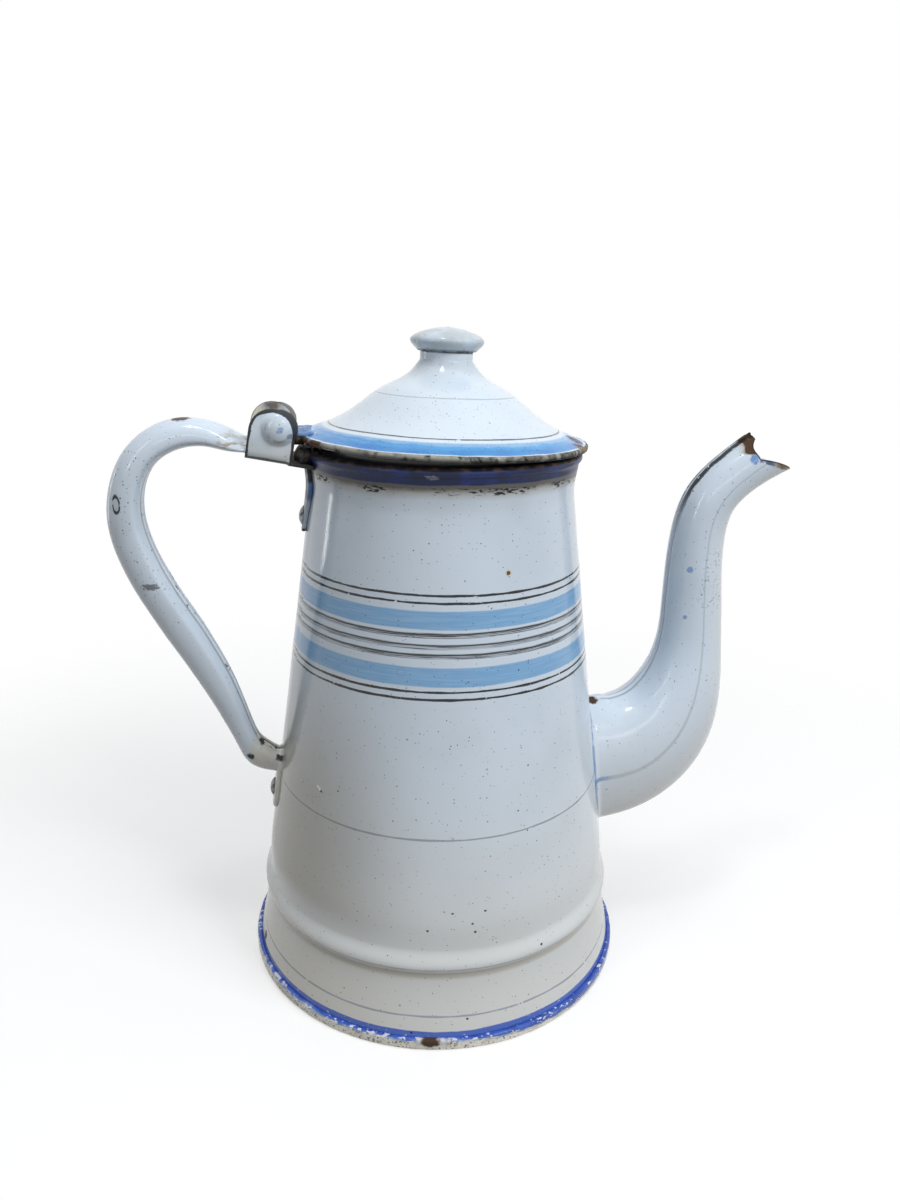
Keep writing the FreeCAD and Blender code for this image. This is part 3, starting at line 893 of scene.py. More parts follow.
def sink_end(piece, length, depth):
    """Let a piece's end towards the spout run down into what it lies on."""
    end = max(vertex.co.x for vertex in piece.data.vertices)
    for vertex in piece.data.vertices:
        share = max(0.0, 1 - (end - vertex.co.x) / (length * MM))
        vertex.co.z -= depth * MM * share * share


def swept_arc(name, section, half_turn):
    """Closed section of radii and heights, swept over an arc in the middle of the handle's side."""
    columns = len(section)
    vertices = []
    for number in range(arc_count):
        turn = math.pi + half_turn * (2 * number / (arc_count - 1) - 1)
        vertices += [at_turn(radius, turn, height) for radius, height in section]
    ends = [tuple(range(columns)), tuple(range((arc_count - 1) * columns, arc_count * columns))]
    return make_object(name, vertices, grid_faces(arc_count, columns) + ends, {})


def run_section():
    """Outline of the enamel run: its round face, then its hidden foot."""
    wall = curl_centre[0] + curl_radius
    start = (wall - run_root, run_top)
    end = (wall + run_reach, run_foot)
    face = [start] + hermite(start, (1, -0.2), end, (0.2, -1), 10)
    return face + [(end[0], run_foot - run_sink), (start[0], run_foot - run_sink)]


bracket = soft_copy("hinge_bracket", *bracket_softness)
store_edges(bracket)
bracket_rivet = soft_copy("bracket_rivet", *rivet_softness)
handle_rivet = soft_copy("handle_rivet", *rivet_softness)
leaf = soft_copy("lid_hinge_leaf", *leaf_softness)
sink_end(leaf, leaf_sunk_length, leaf_sunk_depth)
run = swept_arc("mouth_enamel_run", run_section(), run_half_turn)
leaf_lip = swept_arc("lid_leaf_lip", lip_corners, lip_half_turn)


# Lid, collar and knob, drawn upright

lid_frame = (
    Matrix.Translation((0, 0, lid_rim_bottom * MM))
    @ Matrix.Rotation(lid_tilt, 4, "Y")
    @ Matrix.Translation((0, 0, -lid_rim_bottom * MM))
)


def drawn_in(points, inset):
    """A profile moved in by the sheet's thickness, square to its run."""
    moved = []
    for number, (radius, height) in enumerate(points):
        before = points[max(0, number - 1)]
        after = points[min(len(points) - 1, number + 1)]
        way = Vector((after[0] - before[0], after[1] - before[1])).normalized()
        moved.append((radius - inset * way.y, height + inset * way.x))
    return moved


def lid_skin():
    """Shoulder, dome and neck of the lid from the rim upwards."""
    curve = natural_spline([shoulder_top] + dome_points + [lid_neck_foot])
    points = [shoulder_foot]
    run_on(points, (shoulder_top, 14))
    points += [tuple(curve(number / dome_count)) for number in range(1, dome_count + 1)]
    run_on(points, (lid_neck_top, 4))
    return points


def lid_profile():
    """Closed outline: folded rim, outer skin up to the neck, and inner skin back, with its numbers."""
    low = (lid_rim_radius - lid_rim_round, lid_rim_bottom + lid_rim_round)
    top = (lid_rim_radius - lid_rim_round, lid_rim_top - lid_rim_round)
    outer = round_corner(low, lid_rim_round, -90, 0, 6)
    outer += round_corner(top, lid_rim_round, 0, 80, 6)
    outer += lid_skin()
    inner = list(reversed(drawn_in(lid_skin(), lid_sheet)))
    inner += [(lid_fold_end, lid_rim_bottom + lid_sheet), (lid_fold_end, lid_rim_bottom)]
    return outer + inner, range(len(outer), len(outer) + len(inner))


def lid_shape(radius, height, turn):
    """Small unevenness of the lid, and a rim worn only inwards."""
    point = at_turn(radius, turn, height)
    uneven = soft_bumps(point, *lid_swell)
    if radius > shoulder_foot[0]:
        return radius - abs(soft_bumps(point, *lid_nicks)), height + uneven
    return radius + uneven, height + uneven


def knob_profile():
    """Outline from the middle of the hollow inside, round the foot, to the middle of the top."""
    curve = natural_spline(knob_points)
    neck = lid_neck_top[1]
    top = knob_points[-1][1]
    outer = [knob_points[0]] + [tuple(curve(number / knob_count)) for number in range(1, knob_count)]
    inner = [point for point in drawn_in(outer, knob_sheet) if point[1] > neck + knob_sheet / 2]
    hollow = [(0.0, top - knob_sheet)] + list(reversed(inner))
    return hollow + [(lid_neck_foot[0] - lid_sheet, neck)] + outer + [(0.0, top)]


def collar_profile():
    """Closed outline of the skirt under the lid, with a rounded lower edge and a flange in the rim."""
    edge = lid_sheet / 2
    flange_bottom = lid_rim_bottom + lid_sheet
    flange_top = flange_bottom + lid_sheet
    flange_end = lid_rim_radius - lid_sheet
    points = round_corner((collar_radius - edge, collar_bottom + edge), edge, 180, 360, 6)
    run_on(
        points,
        ((collar_radius, flange_bottom), 6),
        ((flange_end, flange_bottom), 4),
        ((flange_end, flange_top), 1),
        ((collar_radius - lid_sheet, flange_top), 4),
    )
    return points


outline, inner_numbers = lid_profile()
lid = turned("lid_dome", outline, even_turns(rim_turn_count), lid_shape, inner_numbers)
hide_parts("lid_shell")
collar = turned("lid_collar_ring", collar_profile(), even_turns(collar_turn_count))
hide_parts("lid_collar")
knob = turned("lid_button", knob_profile(), even_turns(knob_turn_count))
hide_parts("lid_knob")
for piece in (lid, collar, knob):
    piece.matrix_world = lid_frame

for piece in spout_halves + [body, pan, handle, bracket, run, bracket_rivet, handle_rivet]:
    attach(piece, "pot")
for piece in (lid, collar, knob, leaf, leaf_lip):
    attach(piece, "lid")
whites = spout_halves + [body, handle, bracket, run, bracket_rivet, handle_rivet]
for piece in whites + [lid, collar, knob, leaf, leaf_lip]:
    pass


# Looks: colours are linear, marks are placed in millimetres

white = (0.655, 0.745, 0.845, 1)
shaded_white = (0.60, 0.685, 0.775, 1)
bright_white = (0.85, 0.86, 0.86, 1)
foot_white = (0.93, 0.91, 0.84, 1)
lid_white = (0.69, 0.78, 0.86, 1)
knob_white = (0.48, 0.54, 0.575, 1)
grey_white = (0.46, 0.51, 0.55, 1)
left_shade_grey = (0.42, 0.41, 0.375, 1)
warm_white = (0.70, 0.70, 0.67, 1)
cream = (0.66, 0.62, 0.51, 1)
tan = (0.36, 0.32, 0.25, 1)
sky = (0.18, 0.40, 0.68, 1)
pale_sky = (0.25, 0.47, 0.735, 1)
lid_sky = (0.05, 0.33, 0.69, 1)
lid_deep_sky = (0.008, 0.19, 0.56, 1)
violet = (0.10, 0.155, 0.34, 1)
daub_blue = (0.11, 0.25, 0.54, 1)
cobalt = (0.03, 0.075, 0.36, 1)
bright_cobalt = (0.055, 0.13, 0.52, 1)
worn_cobalt = (0.22, 0.34, 0.58, 1)
navy = (0.012, 0.02, 0.065, 1)
ink_blue = (0.02, 0.04, 0.17, 1)
blue_grey = (0.21, 0.25, 0.34, 1)
rim_grey = (0.115, 0.12, 0.118, 1)
rim_cream = (0.33, 0.325, 0.275, 1)
slate = (0.13, 0.135, 0.14, 1)
dark_umber = (0.075, 0.07, 0.06, 1)
black = (0.008, 0.008, 0.009, 1)
brown = (0.075, 0.045, 0.028, 1)
rust = (0.16, 0.085, 0.042, 1)
dark_rust = (0.085, 0.046, 0.03, 1)
gold = (0.33, 0.21, 0.075, 1)
steel = (0.30, 0.29, 0.27, 1)


class Number:
    """A number that varies over a surface, from which others are worked out. A mask is one from 0 to 1."""

    def __init__(self, nodes, socket):
        self.nodes = nodes
        self.socket = socket

    def __add__(self, other):
        return self.nodes.math("ADD", self, other)

    def __sub__(self, other):
        return self.nodes.math("SUBTRACT", self, other)

    def __rsub__(self, other):
        return self.nodes.math("SUBTRACT", other, self)

    def __mul__(self, other):
        return self.nodes.math("MULTIPLY", self, other)

    def __or__(self, other):
        """The larger of two masks."""
        return self.nodes.math("MAXIMUM", self, other)

    def __abs__(self):
        return self.nodes.math("ABSOLUTE", self)

    def scaled(self, factor, shift):
        """The number times a factor, and shifted."""
        return self.nodes.math("MULTIPLY_ADD", self, factor, shift)

    def pick(self, under, over):
        """Number that goes from under to over with this mask."""
        return self.scaled(self.nodes.math("SUBTRACT", over, under), under)

    def step(self, low, high):
        """Smooth rise from 0 at low to 1 at high."""
        node = self.nodes.node("ShaderNodeMapRange", {"Value": self, "From Min": low, "From Max": high})
        node.interpolation_type = "SMOOTHSTEP"
        return Number(self.nodes, node.outputs["Result"])

    def fall(self, low, high):
        """Smooth fall from 1 at low to 0 at high."""
        return 1 - self.step(low, high)

    def band(self, low, high, soft):
        """Mask between two values, with soft edges."""
        return self.step(low - soft, low + soft) * self.fall(high - soft, high + soft)

    def wavy(self, size, height, seed=0.0):
        """The number shifted up and down by slow and small waves."""
        slow = self.nodes.noise(size, 1, seed).scaled(2 * height, -height)
        small = self.nodes.noise(size / 8, 2, seed + 9).scaled(0.8 * height, -0.4 * height)
        return self + (slow + small)

    def fine_line(self, centre, half_width, seed):
        """Hand-drawn line: its width comes and goes, and it breaks here and there."""
        edge = self.nodes.noise(7, 2, seed).scaled(1.4 * half_width, 0.3 * half_width)
        breaks = self.nodes.noise(2.4, 2, seed + 5).step(0.29, 0.34)
        return abs(self - centre).fall(edge * 0.6, edge) * breaks


class Nodes:
    """A node tree, with short calls that add nodes and join them up."""

    def __init__(self, tree):
        self.tree = tree

    def put(self, socket, value):
        """Join a socket to another, or set its number or colour."""
        if isinstance(value, Number):
            value = value.socket
        if isinstance(value, bpy.types.NodeSocket):
            self.tree.links.new(value, socket)
        else:
            socket.default_value = value

    def fill(self, node, inputs):
        """Put values into a node's inputs, by their names or numbers."""
        for key, value in inputs.items():
            self.put(node.inputs[key], value)

    def node(self, kind, inputs, operation=None):
        """New node, its inputs put in by their names or numbers."""
        node = self.tree.nodes.new(kind)
        if operation:
            node.operation = operation
        self.fill(node, inputs)
        return node

    def math(self, operation, *values):
        node = self.node("ShaderNodeMath", dict(enumerate(values)), operation)
        return Number(self, node.outputs[0])

    def vector(self, operation, inputs):
        """Outputs of a node that works on whole points."""
        return self.node("ShaderNodeVectorMath", inputs, operation).outputs


class Look(Nodes):
    """A material in the making, whose colour is laid on coat by coat."""

    def __init__(self, name, colour):
        self.material = bpy.data.materials.new(name)
        self.material.use_nodes = True
        super().__init__(self.material.node_tree)
        self.shader = self.tree.nodes["Principled BSDF"]
        self.colour = colour
        metres = self.node("ShaderNodeTexCoord", {}).outputs["Object"]
        self.place = self.vector("SCALE", {0: metres, "Scale": 1 / MM})[0]
        parts = self.node("ShaderNodeSeparateXYZ", {0: self.place})
        self.x, self.y, self.z = [Number(self, part) for part in parts.outputs]
        self.radius = self.math("SQRT", self.x * self.x + self.y * self.y)
        self.turn = self.math("ARCTAN2", self.y, self.x)

    def mix(self, under, over, mask):
        """One colour laid over another where the mask is 1."""
        node = self.tree.nodes.new("ShaderNodeMix")
        node.data_type = "RGBA"
        node.clamp_factor = True
        self.fill(node, {0: mask, 6: under, 7: over})
        return node.outputs[2]

    def lay(self, colour, mask):
        """Lay a colour over all that is there so far."""
        self.colour = self.mix(self.colour, colour, mask)

    def mottled(self, base, shade, size):
        """A glaze that goes slowly from one shade to another."""
        return self.mix(base, shade, self.noise(size, 3, 3).step(0.42, 0.72))

    def stored(self, name):
        """A number kept on the mesh's points."""
        node = self.tree.nodes.new("ShaderNodeAttribute")
        node.attribute_name = name
        return Number(self, node.outputs["Fac"])

    def noise(self, size, detail, seed=0.0, stretch=(1, 1, 1), place=None):
        """Cloudy 0 to 1 with lumps of the given size, longer where the stretch is larger."""
        moved = self.node("ShaderNodeMapping", {
            "Vector": place or self.place,
            "Location": (seed, 2 * seed, 3 * seed),
            "Scale": [1 / (size * share) for share in stretch],
        })
        cloud = self.node("ShaderNodeTexNoise", {"Vector": moved.outputs[0], "Scale": 1.0, "Detail": detail})
        return Number(self, cloud.outputs["Fac"])

    def streaks(self, length, width, seed=0.0):
        """Brush streaks that run round the pot."""
        flat = self.node("ShaderNodeCombineXYZ", {0: self.turn * streak_radius, 1: self.z, 2: self.radius})
        return self.noise(1.0, 2, seed, (length, width, width), flat.outputs[0])

    def specks(self, size, share, radius, seed=0.0):
        """Round specks up to a radius, in a share of cells of the given size."""
        moved = self.vector("ADD", {0: self.place, 1: (seed, seed, seed)})[0]
        cells = self.node("ShaderNodeTexVoronoi", {"Vector": moved, "Scale": 1 / size})
        chances = self.node("ShaderNodeSeparateColor", {0: cells.outputs["Color"]})
        chance, spread, depth = [Number(self, part) for part in chances.outputs]
        chosen = self.math("LESS_THAN", chance, share)
        edge = spread.scaled(0.7 * radius / size, 0.3 * radius / size)
        away = Number(self, cells.outputs["Distance"])
        return chosen * depth.scaled(0.6, 0.4) * away.fall(edge * 0.6, edge)

    def distance(self, point):
        return Number(self, self.vector("DISTANCE", {0: self.place, 1: point})["Value"])

    def stretched_distance(self, point, radii):
        """Distance from a point, in radii that may differ along X, Y and Z."""
        moved = self.vector("SUBTRACT", {0: self.place, 1: point})[0]
        shares = self.vector("DIVIDE", {0: moved, 1: radii})[0]
        return Number(self, self.vector("LENGTH", {0: shares})["Value"])

    def blob(self, point, radius, ragged, soft=0.2):
        """Mask round a point, its edge as ragged as a share of its radius."""
        shift = self.noise(0.7 * radius, 3).scaled(2.4 * ragged * radius, -1.2 * ragged * radius)
        return (self.distance(point) + shift).fall(radius * (1 - soft), radius * (1 + soft))

    def patch(self, point, radii, ragged, grain=1.0, soft=0.25):
        """Ragged patch round a point, longer where its radius is larger."""
        shift = self.noise(grain, 3, point[2]).scaled(2 * ragged, -ragged)
        return (self.stretched_distance(point, radii) + shift).fall(1 - soft, 1 + soft)

    def side_of(self, start, end):
        """Distance to the left of a line in the XZ plane, along which it runs from start to end."""
        way = (Vector(end) - Vector(start)).normalized()
        across = self.x.scaled(-way.y, way.y * start[0] - way.x * start[1])
        return self.z.scaled(way.x, across)

    def finish(self, worn, gloss=plain_gloss, shine=plain_shine):
        """Join the colour, a roughness that rises where the glaze is worn, and a fine unevenness."""
        smear = self.noise(9, 3, 31).scaled(gloss_range, gloss - gloss_range / 2)
        peel = self.noise(2.2, 2, 17) * peel_height
        grit = self.noise(0.5, 3, 23) * worn * worn_grit
        height = peel + (worn * worn_depth + grit)
        bump = self.node("ShaderNodeBump", {"Strength": 1.0, "Distance": MM, "Height": height})
        self.fill(self.shader, {
            "Base Color": self.colour,
            "Specular IOR Level": worn.pick(shine, worn_shine),
            "Roughness": worn.pick(smear, worn_roughness),
            "Normal": bump.outputs[0],
        })
        return self.material


def any_of(call, points, *sizes):
    """The largest of the masks that a call makes round several points."""
    masks = [call(point, *sizes) for point in points]
    largest = masks[0]
    for mask in masks[1:]:
        largest = largest | mask
    return largest


def glazed(name, base, shade, size):
    """A look that starts from a mottled glaze."""
    look = Look(name, base)
    look.colour = look.mottled(base, shade, size)
    return look


def body_look():
    look = glazed("body_enamel", white, shaded_white, 40)
    inside = look.stored("inside")
    outside = 1 - inside
    height = look.z.wavy(45, 0.35)
    left = look.x.fall(-60, -10)
    # Warmer towards the bottom: painted warm bounce and reflection from the floor
    look.lay(warm_white, look.z.fall(0, 115) * 0.85)
    # Creamier low on the left: more painted warm bounce
    look.lay(cream, look.z.fall(10, 40) * left * 0.35)
    # Painted shade up the left side, above the bead
    look.lay(left_shade_grey, look.z.step(34, 46) * look.z.fall(70, 150) * left * 0.95)
    # Tan band in the groove under the bead: dirt and painted shade
    look.lay(tan, look.z.band(*groove_dirt_and_shade, 0.9) * 0.6)
    look.lay(blue_grey, height.fine_line(groove_line, 0.4, 47) * 0.5)
    # Painted rings
    paint = look.mix(sky, pale_sky, look.streaks(14, 0.5).step(0.4, 0.68))
    for number, (low, high) in enumerate(blue_bands):
        look.lay(paint, look.z.wavy(30, 0.3, 11 * number).band(low, high, 0.28) * 0.97)
    for number, middle in enumerate(brush_lines):
        wave = look.z.wavy(38, 0.3, 40 + number)
        core = wave.band(middle + 0.15, middle + 0.75, 0.2)
        bristles = look.streaks(16, 0.2, 7 * number).step(0.47, 0.56)
        load = look.noise(34, 2, 60 + number).step(0.3, 0.6)
        thick = core * 0.95 | bristles * load.pick(0.6, 0.98)
        look.lay(black, wave.band(middle - 0.85, middle + 0.85, 0.2) * (thick | 0.3))
    for number, middle in enumerate(black_lines):
        look.lay(black, height.fine_line(middle, 0.47, 3 * number))
    look.lay(slate, height.fine_line(pale_line, 0.38, 33) * 0.6)
    look.lay(blue_grey, height.fine_line(skirt_line, 0.4, 37) * 0.7)
    # Mouth band with a tan stain and a darker band below it, and the foot's blue edge
    drip = look.z.wavy(12, 0.8, 4)
    look.lay(tan, drip.step(*mouth_stain) * outside * 0.6)
    dark_under_band = drip.step(*mouth_dark_band) * outside
    look.lay(dark_umber, dark_under_band * 0.9)
    ink = look.mix(navy, ink_blue, look.noise(9, 2, 6).step(0.42, 0.7))
    inked = look.z.wavy(16, 0.45, 8).step(mouth_band - 0.25, mouth_band + 0.25) * outside
    look.lay(ink, inked)
    bare = look.z.wavy(5, 0.4, 3).step(*mouth_bare)
    look.lay(look.mottled(black, brown, 3), bare * 0.95)
    foot = look.z.wavy(10, 0.25, 2).fall(foot_edge - 0.2, foot_edge + 0.2) * outside
    foot_nicks = look.noise(0.9, 4, 21, (2, 2, 0.8)).step(0.66, 0.72)
    look.lay(bright_cobalt, foot * (1 - foot_nicks))
    # Marks
    pits = look.specks(1.2, 0.45, 0.29) | look.specks(3.6, 0.22, 0.5, 5)
    holes = any_of(look.patch, body_holes, (0.5, 0.5, 0.42), 0.45, 0.5)
    chip = look.patch(navy_chip, (2.0, 2.0, 0.7), 0.9, 0.9)
    look.lay(grey_white, chip * 0.55)
    scuffed = drip.band(*mouth_scuffs, 0.4) * look.noise(9, 2, 73).step(0.46, 0.56) * outside
    scratches = scuffed * look.streaks(2.2, 0.6, 12).step(0.51, 0.55)
    look.lay(cream, look.blob(brown_speck, 1.3, 0.3) * 0.6)
    rusty = look.blob(brown_speck, 0.7, 0.4) | look.blob(foot_spot, 1.6, 0.6) | look.specks(26, 0.3, 0.7, 8)
    look.lay(rust, rusty)
    look.lay(blue_grey, look.distance(ring_mark).band(1.1, 1.45, 0.15) * 0.4)
    look.lay(bright_white, any_of(look.blob, white_scrape, 0.55, 0.6))
    dark = pits | holes | scratches
    look.lay(black, dark * 0.92)
    # Inside, stained by coffee
    lime = look.mix(cream, tan, look.noise(16, 4, 70).step(0.35, 0.7))
    look.lay(look.mix(lime, brown, look.noise(30, 4, 72).step(0.45, 0.75) * 0.6), inside)
    worn = dark | rusty | bare * 0.8 | chip * 0.6 | dark_under_band * 0.4
    return look.finish(worn, shine=inked.pick(plain_shine, 0.38))


def pan_look():
    look = glazed("foot_enamel", foot_white, cream, 8)
    waves = look.z.wavy(11, 0.7, 5)
    side = look.x.step(-10, 48)
    edge = side.pick(3.7, 1.7)
    blue = waves.step(edge - 0.2, edge + 0.2)
    grit = look.noise(0.8, 3, 14).step(side.pick(0.56, 0.62), side.pick(0.63, 0.69))
    look.lay(dark_umber, grit * 0.8)
    scuffs = look.noise(1.3, 3, 15, (2, 2, 0.8)).step(0.4, 0.55)
    look.lay(worn_cobalt, waves.step(edge - 1.1, edge) * scuffs)
    look.lay(look.mix(bright_cobalt, cobalt, look.noise(5, 3, 29).step(0.4, 0.65)), blue)
    bald = look.noise(22, 1, 27).step(0.4, 0.6).pick(side.pick(0.48, 0.55), 0.62)
    nicks = look.noise(1.0, 4, 19, (2, 2, 0.8)).step(bald, bald + 0.06)
    look.lay(bright_white, nicks * blue * 0.8)
    look.lay(warm_white, look.patch(foot_chip, (5.0, 5.0, 2.4), 0.6, 1.5) * 0.9)
    hole = look.patch(foot_chip, (3.3, 3.3, 1.7), 0.35, 1.2)
    look.lay(brown, hole)
    under = look.radius.fall(pan_rim_radius - 2.5, pan_rim_radius - 1.2)
    look.lay(look.mix(slate, brown, look.noise(12, 4, 44).step(0.4, 0.65)), under)
    return look.finish(grit * 0.8 | hole | under * 0.7 | nicks * 0.5)


def spout_look():
    look = glazed("spout_enamel", white, shaded_white, 30)
    along = look.stored("along")
    around = look.stored("around")
    # Warmer low down and on the lower half of each side: painted warm bounce from the floor
    look.lay(warm_white, look.z.fall(45, 110) * 0.45)
    look.lay(warm_white, around.step(0.5, 0.85) * 0.6)
    # Tan along the underside: painted shade
    look.lay(tan, around.step(0.78, 1.0) * along.step(0.1, 0.3) * 0.3)
    # Thin painted line along the side, blue at the root
    side_line = abs(around.wavy(25, 0.008) - 0.5).fall(0.003, 0.013)
    look.lay(slate, side_line * 0.26)
    look.lay(daub_blue, side_line * along.fall(0.02, 0.16) * 0.8)
    # Upper seam: a dark line beside the raised edge, chipped black towards the mouth
    seam = around.wavy(9, 0.012, 2).band(0.085, 0.1, 0.012) * along.step(0.08, 0.2)
    look.lay(slate, seam * 0.7)
    flaked = look.noise(3.2, 3, 21).step(0.33, 0.39)
    chips = around.wavy(5, 0.025, 3).band(0.035, 0.13, 0.012) * flaked * along.step(0.6, 0.7)
    # Root, ringed with blue
    wall = look.radius - look.z.scaled(-cone_taper, skin_radius(0))
    root = wall.wavy(7, 0.4).fall(0.3, 0.9)
    look.lay(daub_blue, root * look.noise(8, 2, 26).step(0.3, 0.5) * 0.8)
    root_chip = look.patch(spout_root_chip, (2.0, 2.4, 2.0), 0.6)
    for place, size in spout_daubs:
        look.lay(daub_blue, look.blob(place, size, 0.5) * 0.75)
    # Mouth: rusty upper point, blue notch, dark lip with a golden end
    over_notch = look.z.step(spout_notch[1] + 1.2, spout_notch[1] + 2.0)
    peel = look.side_of(spout_notch, spout_upper_point).wavy(4, 1.8, 7)
    peeled = peel.fall(4.0, 5.2) * over_notch
    look.lay(tan, peel.fall(4.6, 6.8) * over_notch * 0.7)
    look.lay(look.mix(look.mottled(dark_rust, brown, 1.6), gold, look.noise(2, 3).fall(0.3, 0.42)), peeled)
    lip = look.side_of(spout_notch, spout_lower_point).wavy(3, 0.5, 9)
    strip = lip.band(-1.0, 1.6, 0.3) * look.x.step(spout_notch[0] - 2.2, spout_notch[0] - 1.2)
    inked = strip * look.x.fall(119, 122) | look.patch(spout_ink, (1.4, 3, 1.7), 0.7)
    inked = inked * look.noise(1.4, 3, 30).step(0.36, 0.42)
    look.lay(look.mix(ink_blue, daub_blue, look.x.fall(113, 118)), inked * 0.9)
    look.lay(look.mottled(gold, brown, 2.0), strip * look.x.wavy(3, 1.0, 4).step(119.5, 122.5))
    bare_edge = along.wavy(5, 0.003).step(0.972, 0.979)
    look.lay(look.mottled(black, brown, 3), bare_edge * 0.92)
    look.lay(brown, root_chip)
    pits = look.specks(1.2, 0.45, 0.28) | look.specks(3.8, 0.22, 0.5, 6)
    scuff = look.patch(spout_scuff, (6, 8, 14), 0.5, 6) * look.noise(1.0, 3, 28).step(0.6, 0.65)
    look.lay(slate, scuff * 0.5)
    look.lay(black, (pits | chips) * 0.9)
    # Bore, darker the deeper it is
    deep = along.fall(0.86, 0.97)
    bore = look.mix(look.mottled(warm_white, cream, 5), look.mottled(tan, brown, 9), deep)
    look.lay(bore, around.step(1.005, 1.02))
    return look.finish(pits | chips | peeled | root_chip | bare_edge * 0.8)


def handle_look():
    look = glazed("handle_enamel", white, shaded_white, 26)
    around = look.stored("around")
    # Seam along the inside of the bend: dark line, pale edge beyond it, black where the edge is chipped
    from_edge = look.math("MINIMUM", around, 1 - around)
    look.lay(slate, from_edge.wavy(9, 0.006, 2).band(0.05, 0.075, 0.012) * 0.6)
    chips = from_edge.wavy(4, 0.02, 6).fall(0.055, 0.07) * look.noise(4, 3, 8).step(0.64, 0.69)
    # Foot: creamy flattened gusset
    gusset = look.x.wavy(5, 0.8).step(-70.5, -69.0) * look.z.fall(85, 89)
    look.lay(look.mottled(cream, warm_white, 6), gusset * 0.75)
    stain = look.patch(handle_stain, (6.0, 9.0, 3.5), 0.9, 3.0, 0.5)
    look.lay(gold, stain * look.noise(1.6, 3, 4, (3, 3, 1)).step(0.5, 0.62) * 0.8)
    # Marks
    bend = look.x.fall(-100, -90) * look.z.step(130, 155)
    pepper = look.specks(1.2, 0.6, 0.38, 3) * bend.scaled(0.8, 0.2)
    pits = pepper | look.specks(1.2, 0.4, 0.29, 9) | look.specks(3.2, 0.25, 0.5, 6)
    ring = look.stretched_distance(handle_ring, (1.3, 2.4, 3.0)).wavy(2, 0.16).band(0.7, 1.12, 0.1)
    ring = ring * look.noise(2.4, 2, 11).step(0.34, 0.4)
    look.lay(grey_white, look.patch(handle_ring, (1.3, 2.4, 2.6), 0.3) * 0.5)
    scrape = look.patch(handle_scrape, (2.8, 2.4, 1.1), 1.2, 0.8)
    look.lay(slate, scrape * 0.8)
    top_chip = look.patch(handle_top_chip, (3.0, 2.2, 1.6), 0.6, 1.2)
    look.lay(brown, top_chip * 0.9)
    foot_chips = any_of(look.patch, handle_foot_chips, (1.4, 1.8, 1.4), 0.8)
    dark = pits | chips | ring | foot_chips | around.step(1.0, 1.02) * 0.7
    look.lay(black, dark * 0.92)
    return look.finish(dark | top_chip | scrape)


def bracket_look():
    look = glazed("bracket_enamel", white, shaded_white, 9)
    out = abs(look.y)
    near = look.y.fall(-1, 1)
    cheeks = out.step(cheek_inside - 1.2, cheek_inside - 0.6)
    inner = out.fall(cheek_inside + 0.3, cheek_inside + 0.6)
    look.lay(warm_white, look.z.fall(190, 198) * 0.7)
    # Greyer towards the cheek's lower left: painted shade
    look.lay(grey_white, look.side_of(*corner_side).fall(-3, 3) * 0.6)
    look.lay(look.mottled(cream, grey_white, 4), inner)
    look.lay(brown, inner * look.patch(cheek_stain, (3.0, 3.0, 2.2), 0.8, 2.0, 0.4) * 0.8)
    # Trough and strap, black inside: partly black enamel and partly painted shade
    trough_shade = out.fall(10.6, 11.6) * look.z.fall(193.0, 195.0)
    look.lay(black, trough_shade * look.noise(5, 2, 9).step(0.2, 0.35) * 0.95)
    # Tab down the neck, with a blue edge, its upper part dark grey as painted shade
    tab = look.z.fall(183.5, 185.5)
    pale_tab = look.mottled(white, shaded_white, 4)
    look.lay(look.mix(pale_tab, look.mottled(slate, grey_white, 5), look.z.step(174, 177)), tab * 0.85)
    look.lay(daub_blue, tab * out.wavy(9, 0.4).step(*tab_line) * 0.75)
    # Paint daubs, and painted shade in the crease round the dome's lower left
    look.lay(daub_blue, any_of(look.patch, cheek_daubs, (1.0, 1.4, 0.6), 0.7) * 0.6)
    look.lay(blue_grey, look.patch(cheek_patch, (1.5, 1.6, 0.9), 0.5) * 0.75)
    dome = look.stretched_distance((pin_place[0], 0, pin_place[1]), (4.2, 1000, 4.2))
    crease = dome.band(0.86, 1.06, 0.1) * look.side_of(*crease_side).fall(-2, 2) * near * cheeks
    look.lay(slate, crease * look.noise(3, 2, 7).step(0.3, 0.5) * 0.6)
    # Black cut edges, wider on top and towards the lid
    rim = look.stored("rim").wavy(3.5, 0.3)
    wide = (look.z.step(203.5, 205.0) | look.x.step(-53, -50)).pick(0.85, 1.2)
    near_rim = cheeks * near * rim.fall(wide - 0.15, wide + 0.15)
    far_rim = cheeks * (1 - near) * rim.fall(0.2, 0.45)
    base = look.stored("base").wavy(6, 0.3).fall(0.9, 1.4) * (1 - tab)
    top = look.z.band(181.5, 187, 0.6) * look.noise(4, 2, 2).step(0.4, 0.5) * out.fall(11.6, 12.4)
    tip = look.z.wavy(3, 0.7, 5).fall(tab_tip - 0.5, tab_tip + 0.5)
    dark = near_rim | far_rim * 0.6 | look.specks(1.5, 0.5, 0.34) | base * 0.85 | top | tip
    look.lay(black, dark * 0.95)
    return look.finish((dark | trough_shade) * 0.7, 0.1)


